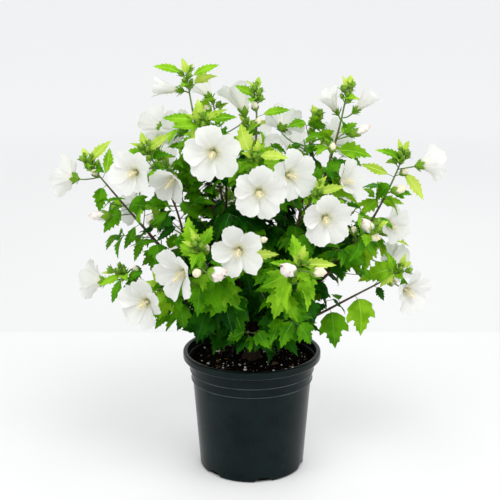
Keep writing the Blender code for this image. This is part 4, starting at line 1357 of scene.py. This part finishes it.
# leaves that show in the photo, by shoot: how far along it, the way the leaf points as azimuth and
# lift, its length, form and tint
# the darker tints of the low leaves under the crown, such as Deep, are partly painted shade
shownLeaves = {
    "low_right": (
        (0.50, 285, -62, 62, "lobed", "Mid"), (0.67, 300, -66, 64, "lobed", "Bright"),
        (0.57, 100, 20, 32, "toothed", "Mid"), (0.80, 20, 60, 38, "toothed", "Mid"),
        (0.80, 320, -50, 26, "toothed", "Deep"), (0.95, 350, -80, 48, "narrow", "Mid"),
        (0.99, 188, -4, 62, "toothed", "Bright"), (0.97, 215, -25, 34, "toothed", "Young")),
    "far_left": (
        (0.95, 205, -48, 48, "toothed", "Bright"), (0.87, 235, -66, 42, "toothed", "Mid"),
        (0.90, 60, 62, 50, "narrow", "Bright"), (0.76, 330, 2, 46, "lobed", "Mid"),
        (0.74, 205, -40, 48, "toothed", "Mid"), (0.66, 225, -60, 44, "narrow", "Mid"),
        (0.60, 215, -62, 46, "narrow", "Mid"), (0.54, 250, -66, 46, "toothed", "Mid")),
    "right": (
        (0.92, 345, -42, 58, "narrow", "Young"), (0.90, 190, 25, 50, "narrow", "Young"),
        (0.75, 320, -66, 44, "toothed", "Bright"), (0.80, 200, -30, 40, "toothed", "Bright")),
    "top_right": (
        (0.90, 350, -14, 56, "narrow", "Young"), (0.88, 190, 22, 58, "toothed", "Bright"),
        (0.76, 350, 4, 54, "toothed", "Bright"), (0.68, 190, 12, 44, "toothed", "Mid")),
    "top_left": (
        (1.00, 182, 26, 46, "narrow", "Bright"), (0.99, 350, 32, 46, "narrow", "Bright"),
        (1.00, 250, 84, 25, "toothed", "Young"), (0.86, 230, -55, 30, "toothed", "Mid")),
    "top_left_front": (
        (0.99, 182, 4, 52, "narrow", "Bright"), (0.98, 0, 12, 46, "narrow", "Bright"),
        (0.98, 240, 70, 32, "toothed", "Young"), (0.95, 210, -62, 32, "toothed", "Young")),
    "centre_front": (
        (0.99, 150, 60, 48, "toothed", "Young"), (0.98, 318, 12, 52, "narrow", "Young"),
        (0.92, 212, -20, 44, "toothed", "Young")),
    "top_centre": ((0.88, 350, 16, 46, "narrow", "Bright"),),
    "mid_right": ((0.96, 195, 10, 44, "toothed", "Bright"),),
    "front_left": (
        (0.97, 165, 72, 42, "toothed", "Bright"), (0.96, 30, 66, 34, "toothed", "Bright"),
        (0.90, 350, 0, 48, "toothed", "Bright"), (0.72, 205, -64, 52, "lobed", "Bright"),
        (0.64, 325, -36, 48, "lobed", "Bright"), (0.42, 300, -62, 46, "lobed", "Mid")),
    "low_left_front": (
        (0.95, 320, -42, 50, "toothed", "Mid"), (0.62, 265, -72, 46, "lobed", "Mid"),
        (0.30, 290, -64, 48, "lobed", "Deep")),
    "low_left": ((0.93, 225, -60, 44, "narrow", "Mid"),),
    "front_right": (
        (0.96, 110, 72, 42, "toothed", "Bright"), (0.88, 195, -24, 44, "lobed", "Bright"),
        (0.76, 235, -52, 48, "lobed", "Bright"), (0.86, 345, -46, 44, "lobed", "Bright"),
        (0.62, 320, -60, 44, "lobed", "Mid"), (0.46, 230, -62, 42, "lobed", "Deep")),
    "skirt_right": (
        (0.45, 280, -68, 42, "lobed", "Deep"), (0.78, 270, -74, 42, "toothed", "Mid")),
}
# set last, where the photo has leaves and the grown ones leave sky
gapLeaves = {
    "left_upper": (
        (0.56, 340, -30, 42, "toothed", "Mid"), (0.50, 200, -35, 40, "narrow", "Mid"),
        (0.49, 8, 8, 40, "toothed", "Mid"), (0.53, 190, 5, 40, "toothed", "Mid"),
        (0.44, 345, -30, 38, "toothed", "Deep"), (0.38, 215, -20, 40, "narrow", "Deep")),
    "far_left": ((0.50, 60, 50, 36, "toothed", "Mid"),),
}


def growShown(crown, table):
    for name, rows in table.items():
        for share, azimuth, lift, length, form, tint in rows:
            node, pointing = shoots[name].point(share), heading(azimuth, lift)
            faces = squareTo(pointing, Vector((crown.rng.uniform(-0.35, 0.35), -0.85, 0.65)))
            away = (pointing + heading(azimuth) + up * 0.5).normalized()
            petiole = foliage["petiole"] * min(1, length * mm / foliage["leafLength"])
            crown.addLeaf(node, away, pointing, faces, length * mm, form, tint, petiole, True)


def growTip(crown, shoot):
    # a turn of young leaves: two small ones rise, the long ones spread to the sides
    rng = crown.rng
    end = shoot.along(1)
    for index, (form, azimuth, rise, share, tint) in enumerate(tipTurn["rising"] + tipTurn["spread"]):
        side = heading(azimuth + rng.uniform(-30, 30))
        side = (side - end * side.dot(end) * 0.8).normalized()
        node = shoot.point(1 - foliage["tipEvery"] * index / shoot.length)
        pointing = (end * rise + side + up * 0.18).normalized()
        forward = -1 if node.y < 0.07 else 1
        faces = up * 0.7 + Vector((rng.uniform(-0.4, 0.4), forward * rng.uniform(0.3, 1.1), 0))
        faces = squareTo(pointing, faces)
        length = foliage["youngLength"] * share * rng.uniform(0.9, 1.12)
        shade = "Mid" if shoot.name in skirtTable else tint
        away = side * 0.6 + end * 0.5
        crown.addLeaf(node, away, pointing, faces, length, form, shade, foliage["tipPetiole"])


def addStems(crown):
    # each shoot's leafy stretch, redder low down and green at its tip
    stem = rodTemplate(8, 3)
    for shoot in shoots.values():
        low, pieces = shoot.boughEnd * 0.98, foliage["stemPieces"]
        for index in range(pieces):
            first, last = (mixed(low, 1, (index + end) / pieces) for end in (0, 1.02))
            last = min(last, 1)
            middle = shoot.point((first + last) / 2) * 2 - (shoot.point(first) + shoot.point(last)) / 2
            slot = sum(last >= turn for turn in foliage["stemTurns"])
            crown.stems.bend(stem, (shoot.point(first), middle, shoot.point(last)),
                             (shoot.radius(first), shoot.radius(last)), slot)


def stalkFoot(shoot, base):
    shares = [0.02 + 0.96 * step / 48 for step in range(49)]
    shares = [share for share in shares if share > shoot.boughEnd + 0.05]
    nearest = min(shares, key=lambda share: (shoot.point(share) - base).length)
    setback = (shoot.point(nearest) - base).length * 0.5 / shoot.length
    return max(nearest - setback, shares[0])


def addStalks(crown):
    for bloom in blooms:
        foot = bloom.shoot.point(stalkFoot(bloom.shoot, bloom.base))
        bend = bloom.base - bloom.faces * flower["stalkStraight"]
        radius = flower["stalkRadius"]
        crown.stems.bend(rod, (foot, bend, bloom.base), (radius, radius * 1.3), 2)


def budTemplate():
    # a closed green bud, 1 long along Z, five-ridged and pointed
    profile = [(0, 0), (0.18, 0.04), (0.28, 0.18), (0.31, 0.40), (0.26, 0.64), (0.14, 0.86), (0, 1.0)]
    bm = turnedRound(profile, 15)
    for vert in bm.verts:
        widen(vert, 1 + 0.09 * math.cos(math.atan2(vert.co.y, vert.co.x) * 5))
    return templateFrom(bm)


budForm = budTemplate()
budding = {"perTip": 10, "length": 0.0150, "stalk": 0.0070, "every": 0.0032, "bracts": 6, "spread": 24,
           "creamLength": 0.018, "creamAcross": 0.0125, "creamBelow": 0.012, "creamStalk": 0.006,
           "creamCalyx": 0.35, "creamBracts": 0.0046}


def addBuds(crown, buds, calyces, creams):
    # green buds crowd round each tip, and a cream one stands below
    rng = random.Random(5)
    for name in shootTable:
        shoot = shoots[name]
        for index in range(budding["perTip"]):
            isCream = index == budding["perTip"] - 1
            below = 0.001 + budding["every"] * index + (budding["creamBelow"] if isCream else 0)
            share = 1 - below / shoot.length
            along = shoot.along(share)
            side = sideOf(along, index * goldenTurn + shoot.index * 70)
            foot = shoot.point(share)
            away = (side + along * rng.uniform(0.3, 1.1) + up * 0.3).normalized()
            stalk = budding["stalk"] * rng.uniform(0.5, 1.3) + (budding["creamStalk"] if isCream else 0)
            base = foot + away * stalk
            length = budding["creamLength"] if isCream else budding["length"] * rng.uniform(0.75, 1.1)
            faces = (away + up * 0.5).normalized()
            if not crown.isFree([base, base + faces * length]):
                continue
            crown.stems.bend(rod, (foot, (foot + base) / 2 + away * 0.001, base), (0.0009, 0.0010), 2)
            stand = facing(base, faces)
            if isCream:
                across = budding["creamAcross"]
                size = Matrix.Diagonal((across, across, length, 1))
                creams.copy(rolledForms[index % 2 * 3], stand @ size, (1, 1))
                claspRolled(calyces, stand, across, length, budding["creamCalyx"])
            else:
                buds.copy(budForm, stand @ Matrix.Scale(length, 4))
            wide, longer = (budding["creamBracts"], 1.0) if isCream else (length * 0.26, 1.6)
            addBracts(calyces, stand, wide, budding["bracts"], budding["spread"], rng, longer)


# name, colour, roughness, shine, mottle and bump
stemFinishes = (
    ("woodyStem", (0.085, 0.035, 0.022), 0.6, 0.5,
     ((0.060, 0.024, 0.016), (0.120, 0.060, 0.036), 160, (0.35, 0.65), (1, 1, 0.3)), (500, 0.4, 0.0005)),
    ("oliveStem", (0.095, 0.095, 0.030), 0.55, 0.5,
     ((0.085, 0.060, 0.026), (0.110, 0.125, 0.036), 90), (500, 0.3, 0.0004)),
    ("greenStem", (0.125, 0.215, 0.040), 0.5, 0.5,
     ((0.100, 0.180, 0.030), (0.150, 0.250, 0.055), 90), (500, 0.3, 0.0004)),
)
rolledFinishes = (
    ("rolledWhite", (0.80, 0.76, 0.70), 0.6, 0.5,
     ((0.74, 0.66, 0.60), (0.84, 0.82, 0.77), 150), (500, 0.4, 0.0006)),
    ("rolledCream", (0.78, 0.72, 0.50), 0.6, 0.5,
     ((0.74, 0.66, 0.42), (0.84, 0.80, 0.62), 200), (500, 0.4, 0.0006)),
    ("fadedTip", (0.74, 0.62, 0.54), 0.6, 0.5,
     ((0.66, 0.48, 0.40), (0.82, 0.76, 0.68), 160), (500, 0.4, 0.0006)),
)


def makeFoliage():
    limbTree = BVHTree.FromPolygons([vert.co for vert in barkedLimbs.data.vertices],
                                    [face.vertices for face in barkedLimbs.data.polygons])
    crown = Foliage(limbTree)
    calyces, buds = Joined(), Joined()
    makeCalyces(calyces)
    rolls = makeClosedBlooms(calyces)
    addStems(crown)
    addStalks(crown)
    addBuds(crown, buds, calyces, rolls)
    growShown(crown, shownLeaves)
    for shoot in shoots.values():
        growTip(crown, shoot)
    for shoot in shoots.values():
        growShoot(crown, shoot)
    growShown(crown, gapLeaves)
    print("leaves", crown.count)
    masses = ["foliage_" + name for name in shoots]
    # the tints from dark to light: besides a leaf's own age, the darker ones stand for painted shade and the
    # brighter ones for painted light
    colours = {
        "Deep": ((0.003, 0.036, 0.001), (0.014, 0.102, 0.002), (0.03, 0.20, 0.003), 0.10),
        "Mid": ((0.026, 0.148, 0.002), (0.096, 0.320, 0.004), (0.20, 0.50, 0.006), 0.20),
        "Bright": ((0.094, 0.305, 0.004), (0.265, 0.560, 0.020), (0.44, 0.75, 0.02), 0.30),
        "Young": ((0.310, 0.520, 0.028), (0.560, 0.720, 0.110), (0.72, 0.86, 0.14), 0.34),
    }
    for tint, (first, second, glow, share) in colours.items():
        blade = leafMaterial("leaf" + tint, first, second, glow, share)
        paler = [value * 1.2 for value in second]
        rib = newMaterial("rib" + tint, paler, 0.5, 0.5, None, (600, 0.2, 0.0004))
        nodes = masses if tint == "Mid" else ()
        addPiece("leaves" + tint, crown.blades[tint], [blade, rib], nodes)
    addPiece("stems", crown.stems, [newMaterial(*row) for row in stemFinishes])
    sepal = leafMaterial("sepals", (0.120, 0.280, 0.014), (0.190, 0.370, 0.026), (0.3, 0.5, 0.03), 0.15)
    addPiece("calyces", calyces, [sepal])
    budGreen = newMaterial("budGreen", (0.150, 0.320, 0.025), 0.5, 0.12,
                           ((0.095, 0.250, 0.014), (0.260, 0.430, 0.050), 200), (700, 0.3, 0.0004))
    addPiece("greenBuds", buds, [budGreen])
    addPiece("rolledPetals", rolls, [newMaterial(*row) for row in rolledFinishes])


makePetals()
makeHearts()
makeFoliage()
print("crown ready")
